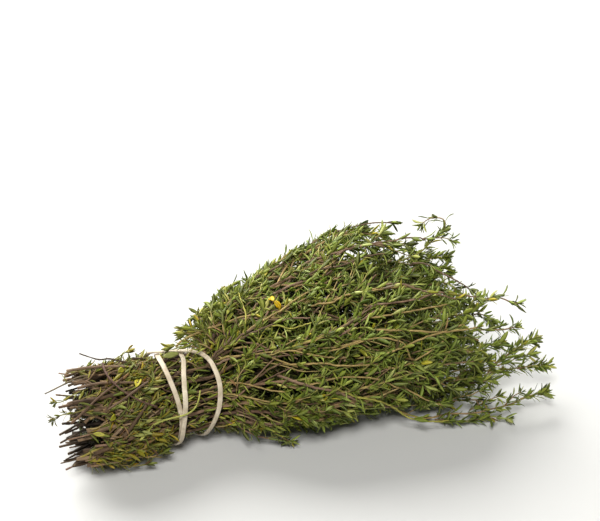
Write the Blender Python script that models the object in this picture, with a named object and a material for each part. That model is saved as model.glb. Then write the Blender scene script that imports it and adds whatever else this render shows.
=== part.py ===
"""Bunch of cut thyme lying on a table, held by a rubber band wound three times round its stems.

Every cut sprig is one grown piece: a square, tapering stem that carries opposite
leaves and short side shoots. The rubber band is one endless flat strip.

Working frame, in millimetres: +X runs from the cut ends to the tips, +Z is up,
and X = 0 lies in the bound neck of the bunch. At the end the whole bunch is moved so
that its origin is the middle of the underside of its box, and written in metres.
"""

import math

import bmesh
import bpy
import numpy as np
from mathutils import Vector

# ---------------------------------------------------------------- dimensions
SPRIG_COUNT = 52
SEED = 41

NECK_HALF_WIDTH = 16.6      # outermost stem centres at the band
NECK_HALF_HEIGHT = 16.0
NECK_CENTRE_Z = 20.4        # height of the neck's centre over the table

# Envelope of the stem centres along the bunch: X, back edge, front edge, lowest, highest.
ENVELOPE = (
    (-66.0, 20.4, -20.6, 2.6, 38.8),
    (-40.0, 18.2, -20.2, 2.8, 38.0),
    (-18.0, 16.8, -17.0, 4.3, 36.8),
    (-5.0, 16.6, -16.6, 4.4, 36.4),
    (7.5, 17.2, -16.9, 4.3, 37.4),
    (15.0, 28.0, -21.5, 3.4, 43.5),
    (24.0, 38.0, -28.0, 3.2, 48.5),
    (36.0, 42.0, -32.5, 3.2, 50.8),
    (60.0, 49.5, -34.5, 3.4, 55.8),
    (90.0, 56.0, -35.0, 3.6, 58.8),
    (120.0, 46.0, -37.0, 4.0, 52.0),
    (160.0, 40.0, -39.0, 5.0, 48.0),
)

CUT_END = (-57.2, -49.5)        # where the stems are cut
CUT_SLANT = 0.26                # how much further back they are cut at the front
CUT_SPLAY = 4.0                 # how far they wander apart there
TIP_BACK, TIP_FRONT = 97.0, 122.5
TOP_SHORTER = 24.0              # how much shorter the sprigs on top at the front are
LOW_SHORTER = 17.0              # and how much shorter those lowest at the front are
TIP_SPREAD = 9.0

# Sprigs that reach past the rest: place in the neck, then the way to the tip as X, Y, Z.
REACHING = (
    (0.25, 0.92, ((96.0, 20.0, 48.5), (103.0, 20.0, 49.5), (111.0, 21.5, 51.0), (116.0, 23.5, 53.0), (120.0, 25.0, 54.5), (123.0, 26.0, 56.5))),
    (-0.20, 0.45, ((104.0, -15.0, 32.5), (110.0, -13.5, 34.0), (116.5, -11.0, 35.5), (123.0, -8.0, 37.0), (128.0, -6.5, 39.0), (132.5, -6.0, 40.0), (137.0, -9.5, 40.0), (142.0, -13.0, 38.0))),
    (-0.50, 0.20, ((104.0, -15.5, 27.5), (115.0, -13.5, 29.0), (121.5, -13.5, 30.0), (127.5, -15.5, 31.0), (132.0, -17.0, 31.5), (139.0, -17.5, 32.0))),
    (-0.45, -0.15, ((96.0, -22.0, 14.0), (106.0, -23.0, 15.0), (115.5, -23.0, 16.0), (121.5, -23.0, 17.0), (127.0, -23.5, 18.0), (131.0, -23.0, 19.5), (135.0, -23.0, 22.0), (139.0, -23.0, 25.0), (145.5, -23.0, 26.5))),
    (-0.75, -0.10, ((96.0, -25.0, 11.0), (107.0, -24.0, 12.5), (119.0, -24.5, 13.0), (126.0, -24.5, 14.0), (131.0, -25.5, 15.0), (136.5, -27.0, 16.0), (142.0, -28.5, 17.0), (149.0, -31.5, 18.0))),
    (-0.90, -0.40, ((68.0, -21.5, 13.0), (77.0, -24.0, 10.0), (84.5, -28.5, 6.5), (92.0, -32.0, 5.0), (99.0, -33.0, 5.5), (105.0, -34.5, 6.0), (113.0, -36.5, 6.5), (119.5, -37.5, 7.5), (126.0, -38.5, 8.5), (131.5, -39.0, 9.5), (136.0, -39.5, 11.0), (144.0, -40.5, 12.0))),
)

STEM_RADIUS_CUT = (0.60, 1.05)  # corner radius of the square stem at its cut end
STEM_RADIUS_TIP = 0.42
LEAF_LENGTH = (4.8, 6.8)
LEAF_HALF_WIDTH = 0.95
LEAF_HALF_THICKNESS = 0.24
SHOOT_LENGTH = (13.0, 24.0)
CLEARANCE = 0.45                # between any two pieces
STEM_CHORD = 0.55               # how far a straight stretch may cut inside a stem's curve

BAND_WIDTH = 2.1
BAND_THICKNESS = 0.9
BAND_LAYER = 1.3                # step outwards where one turn lies on another
BAND_STATIONS = 108             # all the way round its three turns
BAND_GAP = 0.70                 # stem centres' envelope plus stem radius to the band


# ------------------------------------------------------------- shared layout
def through(knots, x):
    """Smooth curve through (position, value) knots, flat beyond both ends."""
    px = np.array([k[0] for k in knots], float)
    py = np.array([k[1] for k in knots], float)
    slope = np.gradient(py, px)
    x = np.clip(np.asarray(x, float), px[0], px[-1])
    j = np.clip(np.searchsorted(px, x, side="right") - 1, 0, len(px) - 2)
    h = px[j + 1] - px[j]
    t = (x - px[j]) / h
    return (
        (2 * t**3 - 3 * t**2 + 1) * py[j]
        + (t**3 - 2 * t**2 + t) * h * slope[j]
        + (-2 * t**3 + 3 * t**2) * py[j + 1]
        + (t**3 - t**2) * h * slope[j + 1]
    )


def neck_places(count):
    """Places in a unit disc, spread by a sunflower spiral and then pushed apart."""
    k = np.arange(count)
    r = np.sqrt((k + 0.5) / count)
    a = k * math.pi * (3.0 - math.sqrt(5.0))
    p = np.stack([r * np.cos(a), r * np.sin(a)], axis=1)
    room = math.sqrt(2.0 / math.sqrt(3.0) * math.pi / count)
    for _ in range(260):
        d = p[:, None, :] - p[None, :, :]
        n = np.linalg.norm(d, axis=2) + np.eye(count)
        push = np.clip(room - n, 0.0, None) / n * (1.0 - np.eye(count))
        p = p + 0.25 * (d * push[:, :, None]).sum(axis=1)
        n = np.linalg.norm(p, axis=1, keepdims=True)
        p = np.where(n > 1.0, p / np.maximum(n, 1e-9), p)
    return p


def layout():
    """Each sprig's stem as points every 5 mm of X, from its cut end to its tip."""
    places = neck_places(SPRIG_COUNT)
    step = 5.0
    planes = np.arange(-65.0, 180.0, step)
    back = through([(e[0], e[1]) for e in ENVELOPE], planes)
    front = through([(e[0], e[2]) for e in ENVELOPE], planes)
    low = through([(e[0], e[3]) for e in ENVELOPE], planes)
    high = through([(e[0], e[4]) for e in ENVELOPE], planes)
    rows = []
    spans = []
    yields = []
    free = list(range(SPRIG_COUNT))
    reach = {}
    for r in REACHING:
        i = min(free, key=lambda j: math.hypot(places[j][0] - r[0], places[j][1] - r[1]))
        free.remove(i)
        reach[i] = r
    for i, (ny, nz) in enumerate(places):
        rng = np.random.RandomState(SEED * 1000 + i)
        y = 0.5 * (back + front) + ny * 0.5 * (back - front)
        z = 0.5 * (high + low) + nz * 0.5 * (high - low)
        grow = np.clip((planes - 6.0) / 110.0, 0.0, 1.3)
        splay = np.clip((-planes - 18.0) / 40.0, 0.0, 1.1) ** 1.3
        loose = 0.45 + 4.2 * grow + 1.2 * splay
        for _ in range(2):
            length, turn = rng.uniform(70.0, 150.0), rng.uniform(0.0, 2.0 * math.pi)
            y = y + loose * 0.55 * np.sin(2 * math.pi * planes / length + turn)
            length, turn = rng.uniform(70.0, 150.0), rng.uniform(0.0, 2.0 * math.pi)
            z = z + loose * 0.45 * np.sin(2 * math.pi * planes / length + turn)
        y = y + splay * rng.uniform(-1.0, 1.0) * CUT_SPLAY
        z = z + splay * rng.uniform(-1.0, 1.0) * CUT_SPLAY
        cut = rng.uniform(*CUT_END) + CUT_SLANT * float(np.interp(-57.0, planes, y))
        side = 0.5 * (ny + 1.0)
        tip = TIP_FRONT + (TIP_BACK - TIP_FRONT) * side**2.5 + rng.uniform(-1.8, 0.6) * TIP_SPREAD
        tip = tip - TOP_SHORTER * float(np.clip((nz - 0.45) / 0.4, 0.0, 1.0) * np.clip((0.3 - ny) / 0.5, 0.0, 1.0))
        tip = tip - LOW_SHORTER * float(np.clip((-nz - 0.05) / 0.4, 0.0, 1.0) * np.clip((-0.1 - ny) / 0.5, 0.0, 1.0))
        free_of_push = np.ones(len(planes))
        if i in reach:
            way = reach[i][2]
            tip = way[-1][0]
            lead = np.clip((planes - way[0][0] + 34.0) / 34.0, 0.0, 1.0)
            lead = lead * lead * (3.0 - 2.0 * lead)
            y = y + lead * (through([(w[0], w[1]) for w in way], planes) - y)
            z = z + lead * (through([(w[0], w[2]) for w in way], planes) - z)
            free_of_push = 1.0 - lead
        rows.append(np.stack([y, z], axis=1))
        spans.append((cut, tip))
        yields.append(free_of_push)
    rows = np.array(rows)
    yields = np.array(yields)[:, :, None]
    inside = np.array([[c - step <= x <= t + step for x in planes] for c, t in spans])
    first = rows.copy()
    shift = np.zeros_like(rows)
    near = through([(-60.0, 4.1), (-18.0, 3.5), (7.0, 3.5), (40.0, 5.0), (100.0, 6.0)], planes)
    for _ in range(60):
        rows = first + shift
        d = rows[:, None, :, :] - rows[None, :, :, :]
        n = np.linalg.norm(d, axis=3) + 1e-6
        both = inside[:, None, :] & inside[None, :, :]
        push = np.where(both, np.clip(near[None, None, :] - n, 0.0, None), 0.0) / n
        push *= 1.0 - np.eye(SPRIG_COUNT)[:, :, None]
        shift = shift + 0.3 * yields * (d * push[..., None]).sum(axis=1)
        shift[:, 1:-1] = 0.5 * shift[:, 1:-1] + 0.25 * (shift[:, :-2] + shift[:, 2:])
        rows = first + shift
        rows[:, :, 1] = np.maximum(rows[:, :, 1], low[None, :] - 0.8)
        shift = rows - first
    rows = first + shift
    stems = []
    for i, (cut, tip) in enumerate(spans):
        xs = np.concatenate([[cut], planes[(planes > cut + 1.5) & (planes < tip - 1.5)], [tip]])
        y = np.interp(xs, planes, rows[i, :, 0])
        z = np.interp(xs, planes, rows[i, :, 1])
        stems.append(np.stack([xs, y, z], axis=1))
    return places, stems


def band_loop():
    """The rubber band's centre line and the strip's outward direction, evenly along its route.

    The route is told as (degrees from the top towards the front, X) over three turns.
    """
    knots = (
        (0, -14.1), (22, -13.8), (55, -12.7), (80, -12.2), (105, -12.4), (150, -12.4), (180, -12.2),
        (225, -11.2), (270, -9.4), (315, -6.6), (345, -4.7), (360, -5.2),
        (376, -6.9), (395, -8.5), (412, -9.7), (429, -10.8), (449, -12.0), (466, -12.4), (500, -12.9),
        (540, -13.3), (585, -14.2), (630, -15.9), (668, -16.6), (684, -14.9), (692, -11.6), (700, -6.2),
        (708, -0.6), (715, 2.9),
        (725, 4.7), (745, 5.9), (764, 6.1), (781, 5.2), (795, 4.1), (812, 2.2), (830, 0.4), (860, -1.0),
        (900, -2.0), (945, -4.2), (980, -7.6), (1010, -10.8), (1040, -13.0), (1062, -14.0), (1080, -14.1),
    )
    dense = 1080
    turn = np.arange(dense) * 1080.0 / dense
    wrapped = [(a - 1080.0, x) for a, x in knots[-5:-1]] + list(knots) + [(a + 1080.0, x) for a, x in knots[1:5]]
    x = through(wrapped, turn)
    hw = NECK_HALF_WIDTH + STEM_RADIUS_CUT[1] + BAND_GAP + 0.5 * BAND_THICKNESS
    hh = NECK_HALF_HEIGHT + STEM_RADIUS_CUT[1] + BAND_GAP + 0.5 * BAND_THICKNESS
    # Which stretch lies on which where two meet: a higher rank lies on a lower one.
    rank = np.where(turn < 400.0, 0, np.where(turn < 745.0, 2, 1))
    size = math.radians(1.0) * 0.5 * (hw + hh)
    raised = np.zeros(dense)
    for other in (360, 720):
        for near in range(-9, 10):
            j = (np.arange(dense) + other + near) % dense
            close = np.hypot(x - x[j], near * size) < BAND_WIDTH + 0.7
            raised = np.where(close & (rank > rank[j]), 1.0, raised)
    wide = raised.copy()
    for s in range(-9, 10):
        wide = np.maximum(wide, np.roll(raised, s))
    window = np.hanning(25)
    window /= window.sum()
    wide = sum(w * np.roll(wide, k - 12) for k, w in enumerate(window))
    wide = np.maximum(wide, raised)
    a = np.radians(turn)
    out = np.stack([np.zeros_like(a), -np.sin(a) / hw, np.cos(a) / hh], axis=1)
    out /= np.linalg.norm(out, axis=1, keepdims=True)
    route = np.stack([x, -np.sin(a) * hw, np.cos(a) * hh + NECK_CENTRE_Z], axis=1)
    route = route + out * (wide * BAND_LAYER)[:, None]
    closed = np.concatenate([route, route[:1]])
    cum = np.concatenate([[0.0], np.cumsum(np.linalg.norm(np.diff(closed, axis=0), axis=1))])
    even = np.arange(BAND_STATIONS) * cum[-1] / BAND_STATIONS
    centre = np.stack([np.interp(even, cum, closed[:, k]) for k in range(3)], axis=1)
    facing = np.concatenate([out, out[:1]])
    facing = np.stack([np.interp(even, cum, facing[:, k]) for k in range(3)], axis=1)
    facing /= np.linalg.norm(facing, axis=1, keepdims=True)
    return centre, facing


# ------------------------------------------------------------------ clearance
class Room:
    """Round-ended rods that stand for everything already placed."""

    def __init__(self):
        self.n = 0
        self.a = np.zeros((9000, 3))
        self.b = np.zeros((9000, 3))
        self.r = np.zeros(9000)
        self.owner = np.zeros(9000, int)
        self.part = np.zeros(9000, int)

    def add(self, a, b, r, owner, part):
        self.a[self.n], self.b[self.n], self.r[self.n] = a, b, r
        self.owner[self.n], self.part[self.n] = owner, part
        self.n += 1

    def gap(self, p, q, r, owner, skip):
        """Smallest gap from one rod to the others, leaving out some parts of its own sprig."""
        n = self.n
        keep = ~((self.owner[:n] == owner) & np.isin(self.part[:n], skip))
        low, high = np.minimum(p, q) - r - 3.0, np.maximum(p, q) + r + 3.0
        keep &= (np.maximum(self.a[:n], self.b[:n]) + self.r[:n, None] > low).all(axis=1)
        keep &= (np.minimum(self.a[:n], self.b[:n]) - self.r[:n, None] < high).all(axis=1)
        if not keep.any():
            return 3.0
        a, b = self.a[:n][keep], self.b[:n][keep]
        d1, d2, w = q - p, b - a, p - a
        aa, ee = max(d1 @ d1, 1e-9), np.maximum((d2 * d2).sum(1), 1e-9)
        f, c, bb = (d2 * w).sum(1), w @ d1, d2 @ d1
        den = aa * ee - bb * bb
        s = np.where(den > 1e-9, np.clip((bb * f - c * ee) / np.where(den > 1e-9, den, 1.0), 0.0, 1.0), 0.0)
        t = (bb * s + f) / ee
        s = np.where(t < 0.0, np.clip(-c / aa, 0.0, 1.0), np.where(t > 1.0, np.clip((bb - c) / aa, 0.0, 1.0), s))
        t = np.clip(t, 0.0, 1.0)
        gap = np.linalg.norm(p + s[:, None] * d1 - a - t[:, None] * d2, axis=1) - r - self.r[:n][keep]
        return float(gap.min())


# --------------------------------------------------------------------- sprigs
def unit(v):
    return v / max(np.linalg.norm(v), 1e-9)


def along(points, s):
    """Point and direction at arc length s of a polyline, rounded over its corners."""
    seg = np.linalg.norm(np.diff(points, axis=0), axis=1)
    cum = np.concatenate([[0.0], np.cumsum(seg)])
    at = np.array([np.interp(s, cum, points[:, k]) for k in range(3)])
    lo, hi = max(s - 2.5, 0.0), min(s + 2.5, cum[-1])
    ahead = np.array([np.interp(hi, cum, points[:, k]) for k in range(3)])
    behind = np.array([np.interp(lo, cum, points[:, k]) for k in range(3)])
    return at, unit(ahead - behind)


def total(points):
    return float(np.linalg.norm(np.diff(points, axis=0), axis=1).sum())


def ring(at, ahead, side, radius):
    """Four corners of the square stem."""
    up = unit(np.cross(ahead, side))
    side = np.cross(up, ahead)
    return [at + radius * (math.cos(a) * side + math.sin(a) * up) for a in (math.pi * (0.25 + 0.5 * k) for k in range(4))]


class Grower:
    """Grows one closed body by extruding faces, so that it stays one skin."""

    def __init__(self, corners, ahead):
        self.bm = bmesh.new()
        cut = [self.bm.verts.new(c) for c in corners]
        top = [self.bm.verts.new(c + ahead) for c in corners]
        self.bm.faces.new(cut[::-1])
        for k in range(4):
            self.bm.faces.new([cut[k], cut[(k + 1) % 4], top[(k + 1) % 4], top[k]])
        self.cap = self.bm.faces.new(top)

    def push(self, face, targets):
        """Extrudes a face and moves each new corner to the target of the old corner it came from."""
        old = [(v, v.co.copy()) for v in face.verts]
        new = bmesh.ops.extrude_discrete_faces(self.bm, faces=[face])["faces"][0]
        new_verts = list(new.verts)
        for v, (_, co) in ((v, min(old, key=lambda o: (o[1] - v.co).length)) for v in new_verts):
            k = min(range(4), key=lambda m: (old[m][1] - co).length)
            v.co = Vector(targets[k])
        return new

    def finish(self, name, colour, roughness):
        bm = self.bm
        bmesh.ops.triangulate(bm, faces=bm.faces[:])
        bmesh.ops.recalc_face_normals(bm, faces=bm.faces[:])
        mesh = bpy.data.meshes.new(name)
        bm.to_mesh(mesh)
        bm.free()
        return make_object(name, mesh, colour, roughness)


def make_object(name, mesh, colour, roughness):
    ob = bpy.data.objects.new(name, mesh)
    bpy.context.scene.collection.objects.link(ob)
    mat = bpy.data.materials.new(name + "_surface")
    mat.use_nodes = True
    bsdf = mat.node_tree.nodes["Principled BSDF"]
    bsdf.inputs["Base Color"].default_value = (*colour, 1.0)
    bsdf.inputs["Roughness"].default_value = roughness
    bsdf.inputs["Metallic"].default_value = 0.0
    mesh.materials.append(mat)
    return ob


def extrude_to(grower, face, centre, wide, thick, half_w, half_t):
    """Extrudes a face to a flat four-cornered section round a centre."""
    mid = sum((v.co for v in face.verts), Vector()) / 4.0
    targets = []
    for v in face.verts:
        o = np.array(v.co - mid)
        sw = 1.0 if o @ wide > 0 else -1.0
        st = 1.0 if o @ thick > 0 else -1.0
        targets.append(centre + wide * sw * half_w + thick * st * half_t)
    return grower.push(face, targets)


def close_tip(grower, face, tip):
    """Extrudes a face and draws it together to a point."""
    new = grower.push(face, [np.array(v.co) for v in face.verts])
    bmesh.ops.pointmerge(grower.bm, verts=list(new.verts), merge_co=Vector(tip))


def leaf(grower, face, stem_dir, out_dir, length, lean, scale=1.0):
    """A lance-shaped leaf grown out of one side face of the stem."""
    mid = np.array(sum((v.co for v in face.verts), Vector()) / 4.0)
    wide = unit(np.cross(stem_dir, out_dir))
    axis = unit(math.cos(lean) * stem_dir + math.sin(lean) * out_dir)
    thick = unit(np.cross(wide, axis))
    if thick @ stem_dir < 0:
        thick = -thick
    body = extrude_to(grower, face, mid + axis * length * 0.5, wide, thick, LEAF_HALF_WIDTH * scale, LEAF_HALF_THICKNESS)
    close_tip(grower, body, mid + axis * length)


def side_faces(old_face_verts, new_face):
    """The four faces between an extruded face and the one it came from."""
    found = []
    for e in new_face.edges:
        for f in e.link_faces:
            if f is not new_face and f not in found:
                found.append(f)
    return found


def plan_sprig(i, stem, rng, room, envelope_mid):
    """Chooses the nodes of one sprig: where leaves and side shoots leave the stem."""
    length = total(stem)
    nodes = []
    s = rng.uniform(20.0, 44.0)
    while s < length - 16.0:
        nodes.append(s)
        s += rng.uniform(30.0, 40.0)
    nodes.append(length - 3.2)
    return nodes


def stem_radius(base, s, length):
    return base + (STEM_RADIUS_TIP - base) * min(1.0, max(0.0, s / length)) ** 0.85


def shoot_path(start, stem_dir, out_dir, length, up):
    """A side shoot that leaves the stem at an angle and bends back along it."""
    lean0, lean1 = math.radians(46.0), math.radians(16.0)
    pts = [start]
    for k in range(4):
        lean = lean0 + (lean1 - lean0) * (k + 0.5) / 4.0
        d = unit(math.cos(lean) * stem_dir + math.sin(lean) * out_dir + np.array([0.0, 0.0, up]))
        pts.append(pts[-1] + d * length / 4.0)
    return np.array(pts)


def build():
    places, stems = layout()
    room = Room()
    centre, out = band_loop()
    count = len(centre)
    for k in range(count):
        room.add(centre[k], centre[(k + 1) % count], 0.5 * BAND_WIDTH + 0.1, -1, 0)
    bases = []
    for i, stem in enumerate(stems):
        rng = np.random.RandomState(SEED * 77 + i)
        bases.append(rng.uniform(*STEM_RADIUS_CUT))
        length = total(stem)
        s = 0.0
        for k in range(len(stem) - 1):
            room.add(stem[k], stem[k + 1], stem_radius(bases[i], s, length), i, 0)
            s += np.linalg.norm(stem[k + 1] - stem[k])

    # First every side shoot, then every leaf, so that the shoots find their room.
    plans = []
    for i, stem in enumerate(stems):
        rng = np.random.RandomState(SEED * 91 + i)
        nodes = plan_sprig(i, stem, rng, room, None)
        length = total(stem)
        side = unit(np.cross(along(stem, 0.5 * length)[1], [0.0, 0.0, 1.0]))
        roll = rng.uniform(-0.5, 0.5)
        plan = []
        part = 1
        shoots = 0
        for n, s in enumerate(nodes):
            at, ahead = along(stem, s)
            up = unit(np.cross(ahead, side))
            turn = roll + (math.pi / 4.0 if n % 2 else 0.0)
            ref = unit(math.cos(turn) * side + math.sin(turn) * up)
            ref_up = unit(np.cross(ahead, ref))
            ref = np.cross(ref_up, ahead)
            faces = [math.cos(a) * ref + math.sin(a) * ref_up for a in (0.0, 0.5 * math.pi, math.pi, 1.5 * math.pi)]
            radius = stem_radius(bases[i], s, length)
            entry = {"s": s, "at": at, "ahead": ahead, "ref": ref, "radius": radius, "grown": [None] * 4, "faces": faces}
            if n < len(nodes) - 1 and at[0] > 12.0 and shoots < 1 and length - s > 16.0:
                best = None
                for k in rng.permutation(4):
                    for size in (1.0, 0.7):
                        want = rng.uniform(*SHOOT_LENGTH) * size
                        want = min(want, 0.75 * (length - s))
                        path = shoot_path(at + faces[k] * radius * 0.7, ahead, faces[k], want, 0.06)
                        if path[:, 2].min() < 1.2:
                            continue
                        gap = min(
                            room.gap(path[m] if m else path[0] + (path[1] - path[0]) * 0.35, path[m + 1], 1.35, i, [0])
                            for m in range(4)
                        )
                        if gap > CLEARANCE and (best is None or want > best[0]):
                            best = (want, k, path)
                if best is not None:
                    want, k, path = best
                    entry["grown"][k] = ("shoot", path, part)
                    for m in range(4):
                        room.add(path[m], path[m + 1], 0.55, i, part)
                    part += 1
                    shoots += 1
            plan.append(entry)
        plans.append((plan, part))

    for i, stem in enumerate(stems):
        plan, part = plans[i]
        rng = np.random.RandomState(SEED * 113 + i)
        for n, entry in enumerate(plan):
            here = [0]
            for g in entry["grown"]:
                if g:
                    here.append(g[2])
            pair = int(rng.randint(2))
            for k in (pair, pair + 2):
                if entry["grown"][k]:
                    continue
                for size, lean in ((1.0, 52.0), (0.8, 40.0), (0.65, 30.0)):
                    length = rng.uniform(*LEAF_LENGTH) * size * (1.0 if k % 2 == 0 else 0.85)
                    lean = math.radians(lean + rng.uniform(-5.0, 5.0))
                    axis = math.cos(lean) * entry["ahead"] + math.sin(lean) * entry["faces"][k]
                    p = entry["at"] + entry["faces"][k] * (entry["radius"] * 0.7)
                    q = p + axis * length
                    if min(p[2], q[2]) < 0.5:
                        continue
                    if room.gap(p + axis * 1.2, q, 1.0, i, here) > CLEARANCE:
                        entry["grown"][k] = ("leaf", length, lean)
                        room.add(p, q, 1.0, i, part)
                        here.append(part)
                        part += 1
                        break

    objects = []
    for i, stem in enumerate(stems):
        plan, _ = plans[i]
        length = total(stem)
        rings = [(0.0, None)]
        for n, entry in enumerate(plan):
            last = rings[-1][0]
            lo, hi = entry["s"] - 1.1, entry["s"] + 1.1
            rings += [(s, None) for s in bends(stem, last, lo, STEM_CHORD)]
            rings.append((lo, None))
            rings.append((hi, entry))
        at, ahead = along(stem, 0.0)
        ref = plan[0]["ref"]
        grower = Grower(ring(at, ahead, ref, bases[i]), ahead * 1.5)
        cap = grower.cap
        for idx, (s, entry) in enumerate(rings[1:], 1):
            at, ahead = along(stem, s)
            nxt = next((e for _, e in rings[idx:] if e), plan[-1])
            # The square section turns with the next node's leaves.
            want = nxt["ref"]
            radius = stem_radius(bases[i], s, length)
            corners = ring(at, ahead, want, radius)
            targets = match_corners(cap, corners)
            cap = grower.push(cap, targets)
            if entry:
                grow_node(grower, cap, entry)
        tip, ahead = along(stem, length)
        close_tip(grower, cap, tip + ahead * 1.6)
        ob = grower.finish(f"sprig_{i + 1:02d}", (0.13, 0.20, 0.055), 0.6)
        objects.append(ob)
    objects.append(band_object(centre, out))
    place(objects)
    return objects


def bends(stem, lo, hi, tolerance):
    """Extra stations between two, so that straight stretches stay close to the stem's curve."""
    if hi - lo < 5.0:
        return []
    a, b = along(stem, lo)[0], along(stem, hi)[0]
    d = unit(b - a)
    worst, where = 0.0, 0.0
    for s in np.linspace(lo, hi, 14)[1:-1]:
        p = along(stem, s)[0] - a
        off = float(np.linalg.norm(p - (p @ d) * d))
        if off > worst:
            worst, where = off, float(s)
    if worst <= tolerance:
        return []
    return bends(stem, lo, where, tolerance) + [where] + bends(stem, where, hi, tolerance)


def match_corners(face, corners):
    """Pairs the face's corners with the next ring's, in order, with the least turn."""
    verts = [np.array(v.co) for v in face.verts]
    mid = sum(verts) / 4.0
    cm = sum(corners) / 4.0
    best = None
    for seq in (corners, corners[::-1]):
        for k in range(4):
            cand = [seq[(k + m) % 4] for m in range(4)]
            cost = sum(float(np.linalg.norm(unit(c - cm) - unit(v - mid))) for c, v in zip(cand, verts))
            if best is None or cost < best[0]:
                best = (cost, cand)
    return best[1]


def grow_node(grower, cap, entry):
    """Grows the leaves and side shoots of one node from the side faces just made."""
    faces = side_faces(None, cap)
    for k, grown in enumerate(entry["grown"]):
        if not grown:
            continue
        out_dir = entry["faces"][k]
        face = max(faces, key=lambda f: float(np.array(f.calc_center_median() - cap.calc_center_median()) @ out_dir))
        faces.remove(face)
        if grown[0] == "leaf":
            leaf(grower, face, entry["ahead"], out_dir, grown[1], grown[2])
        else:
            grow_shoot(grower, face, entry, out_dir, grown[1])


def grow_shoot(grower, face, entry, out_dir, path):
    """A thin side shoot with one pair of leaves and a leafy tip."""
    length = total(path)
    wide = unit(np.cross(entry["ahead"], out_dir))
    cap = face
    for s, leafy in ((0.30, False), (0.56, False), (0.56 + 1.9 / length, length > 17.0)):
        at, d = along(path, s * length)
        thick = unit(np.cross(wide, d))
        if thick @ entry["ahead"] < 0:
            thick = -thick
        r = 0.42 - 0.14 * s
        cap = extrude_to(grower, cap, at, wide, thick, r, r)
        if leafy:
            for f in side_faces(None, cap):
                n = np.array(f.calc_center_median()) - at
                if abs(unit(n) @ wide) > 0.4:
                    leaf(grower, f, d, wide if n @ wide > 0 else -wide, 4.6, math.radians(32.0), 0.8)
    tip, d = along(path, length)
    thick = unit(np.cross(wide, d))
    cap = extrude_to(grower, cap, tip - d * 0.2, wide, thick, 0.75, 0.3)
    close_tip(grower, cap, tip + d * 2.6)


def band_object(centre, out):
    """The rubber band: a flat strip swept round its closed route."""
    count = len(centre)
    bm = bmesh.new()
    rings = []
    for k in range(count):
        ahead = unit(centre[(k + 1) % count] - centre[k - 1])
        across = unit(np.cross(ahead, out[k]))
        rise = np.cross(across, ahead)
        hw, ht = 0.5 * BAND_WIDTH, 0.5 * BAND_THICKNESS
        rings.append([
            bm.verts.new(centre[k] + across * sx * hw + rise * sz * ht)
            for sx, sz in ((-1, -1), (1, -1), (1, 1), (-1, 1))
        ])
    for k in range(count):
        a, b = rings[k], rings[(k + 1) % count]
        for m in range(4):
            bm.faces.new([a[m], a[(m + 1) % 4], b[(m + 1) % 4], b[m]])
    bmesh.ops.triangulate(bm, faces=bm.faces[:])
    bmesh.ops.recalc_face_normals(bm, faces=bm.faces[:])
    mesh = bpy.data.meshes.new("rubber_band")
    bm.to_mesh(mesh)
    bm.free()
    return make_object("rubber_band", mesh, (0.80, 0.72, 0.60), 0.55)


def place(objects):
    """Puts the middle of the underside of the whole box at the origin, in metres."""
    low, high = np.full(3, 1e9), np.full(3, -1e9)
    for ob in objects:
        co = np.array([v.co[:] for v in ob.data.vertices])
        low, high = np.minimum(low, co.min(0)), np.maximum(high, co.max(0))
    origin = np.array([0.5 * (low[0] + high[0]), 0.5 * (low[1] + high[1]), low[2]])
    for ob in objects:
        for v in ob.data.vertices:
            v.co = (v.co - Vector(origin)) * 0.001
        ob.data.update()


for old in list(bpy.data.objects):
    bpy.data.objects.remove(old, do_unlink=True)
build()
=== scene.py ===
"""Looks of the thyme bundle: leafy sprigs and a rubber band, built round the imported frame."""

import math

import bpy
import numpy as np
from mathutils import Matrix, Vector


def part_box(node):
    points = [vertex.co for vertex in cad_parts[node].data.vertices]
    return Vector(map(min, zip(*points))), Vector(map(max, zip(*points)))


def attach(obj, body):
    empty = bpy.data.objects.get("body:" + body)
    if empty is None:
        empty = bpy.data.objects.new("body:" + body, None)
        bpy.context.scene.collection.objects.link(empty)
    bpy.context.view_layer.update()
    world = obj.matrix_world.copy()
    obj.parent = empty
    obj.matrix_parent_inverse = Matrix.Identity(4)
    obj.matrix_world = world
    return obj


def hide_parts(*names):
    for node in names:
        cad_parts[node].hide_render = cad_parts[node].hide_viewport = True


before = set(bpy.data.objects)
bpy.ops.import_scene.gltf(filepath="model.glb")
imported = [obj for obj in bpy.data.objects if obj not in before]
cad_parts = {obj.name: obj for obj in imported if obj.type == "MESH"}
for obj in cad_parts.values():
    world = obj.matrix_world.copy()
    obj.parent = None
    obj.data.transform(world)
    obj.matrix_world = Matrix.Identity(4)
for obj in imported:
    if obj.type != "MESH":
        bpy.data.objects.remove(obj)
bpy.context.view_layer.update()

# ---------------------------------------------------------------- dimensions, as in the frame
SPRIG_COUNT = 52
SEED = 41

NECK_HALF_WIDTH = 16.6      # outermost stem centres at the band
NECK_HALF_HEIGHT = 16.0
NECK_CENTRE_Z = 20.4        # height of the neck's centre over the table

# Envelope of the stem centres along the bunch: X, back edge, front edge, lowest, highest.
ENVELOPE = (
    (-66.0, 20.4, -20.6, 2.6, 38.8),
    (-40.0, 18.2, -20.2, 2.8, 38.0),
    (-18.0, 16.8, -17.0, 4.3, 36.8),
    (-5.0, 16.6, -16.6, 4.4, 36.4),
    (7.5, 17.2, -16.9, 4.3, 37.4),
    (15.0, 28.0, -21.5, 3.4, 43.5),
    (24.0, 38.0, -28.0, 3.2, 48.5),
    (36.0, 42.0, -32.5, 3.2, 50.8),
    (60.0, 49.5, -34.5, 3.4, 55.8),
    (90.0, 56.0, -35.0, 3.6, 58.8),
    (120.0, 46.0, -37.0, 4.0, 52.0),
    (160.0, 40.0, -39.0, 5.0, 48.0),
)

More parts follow.
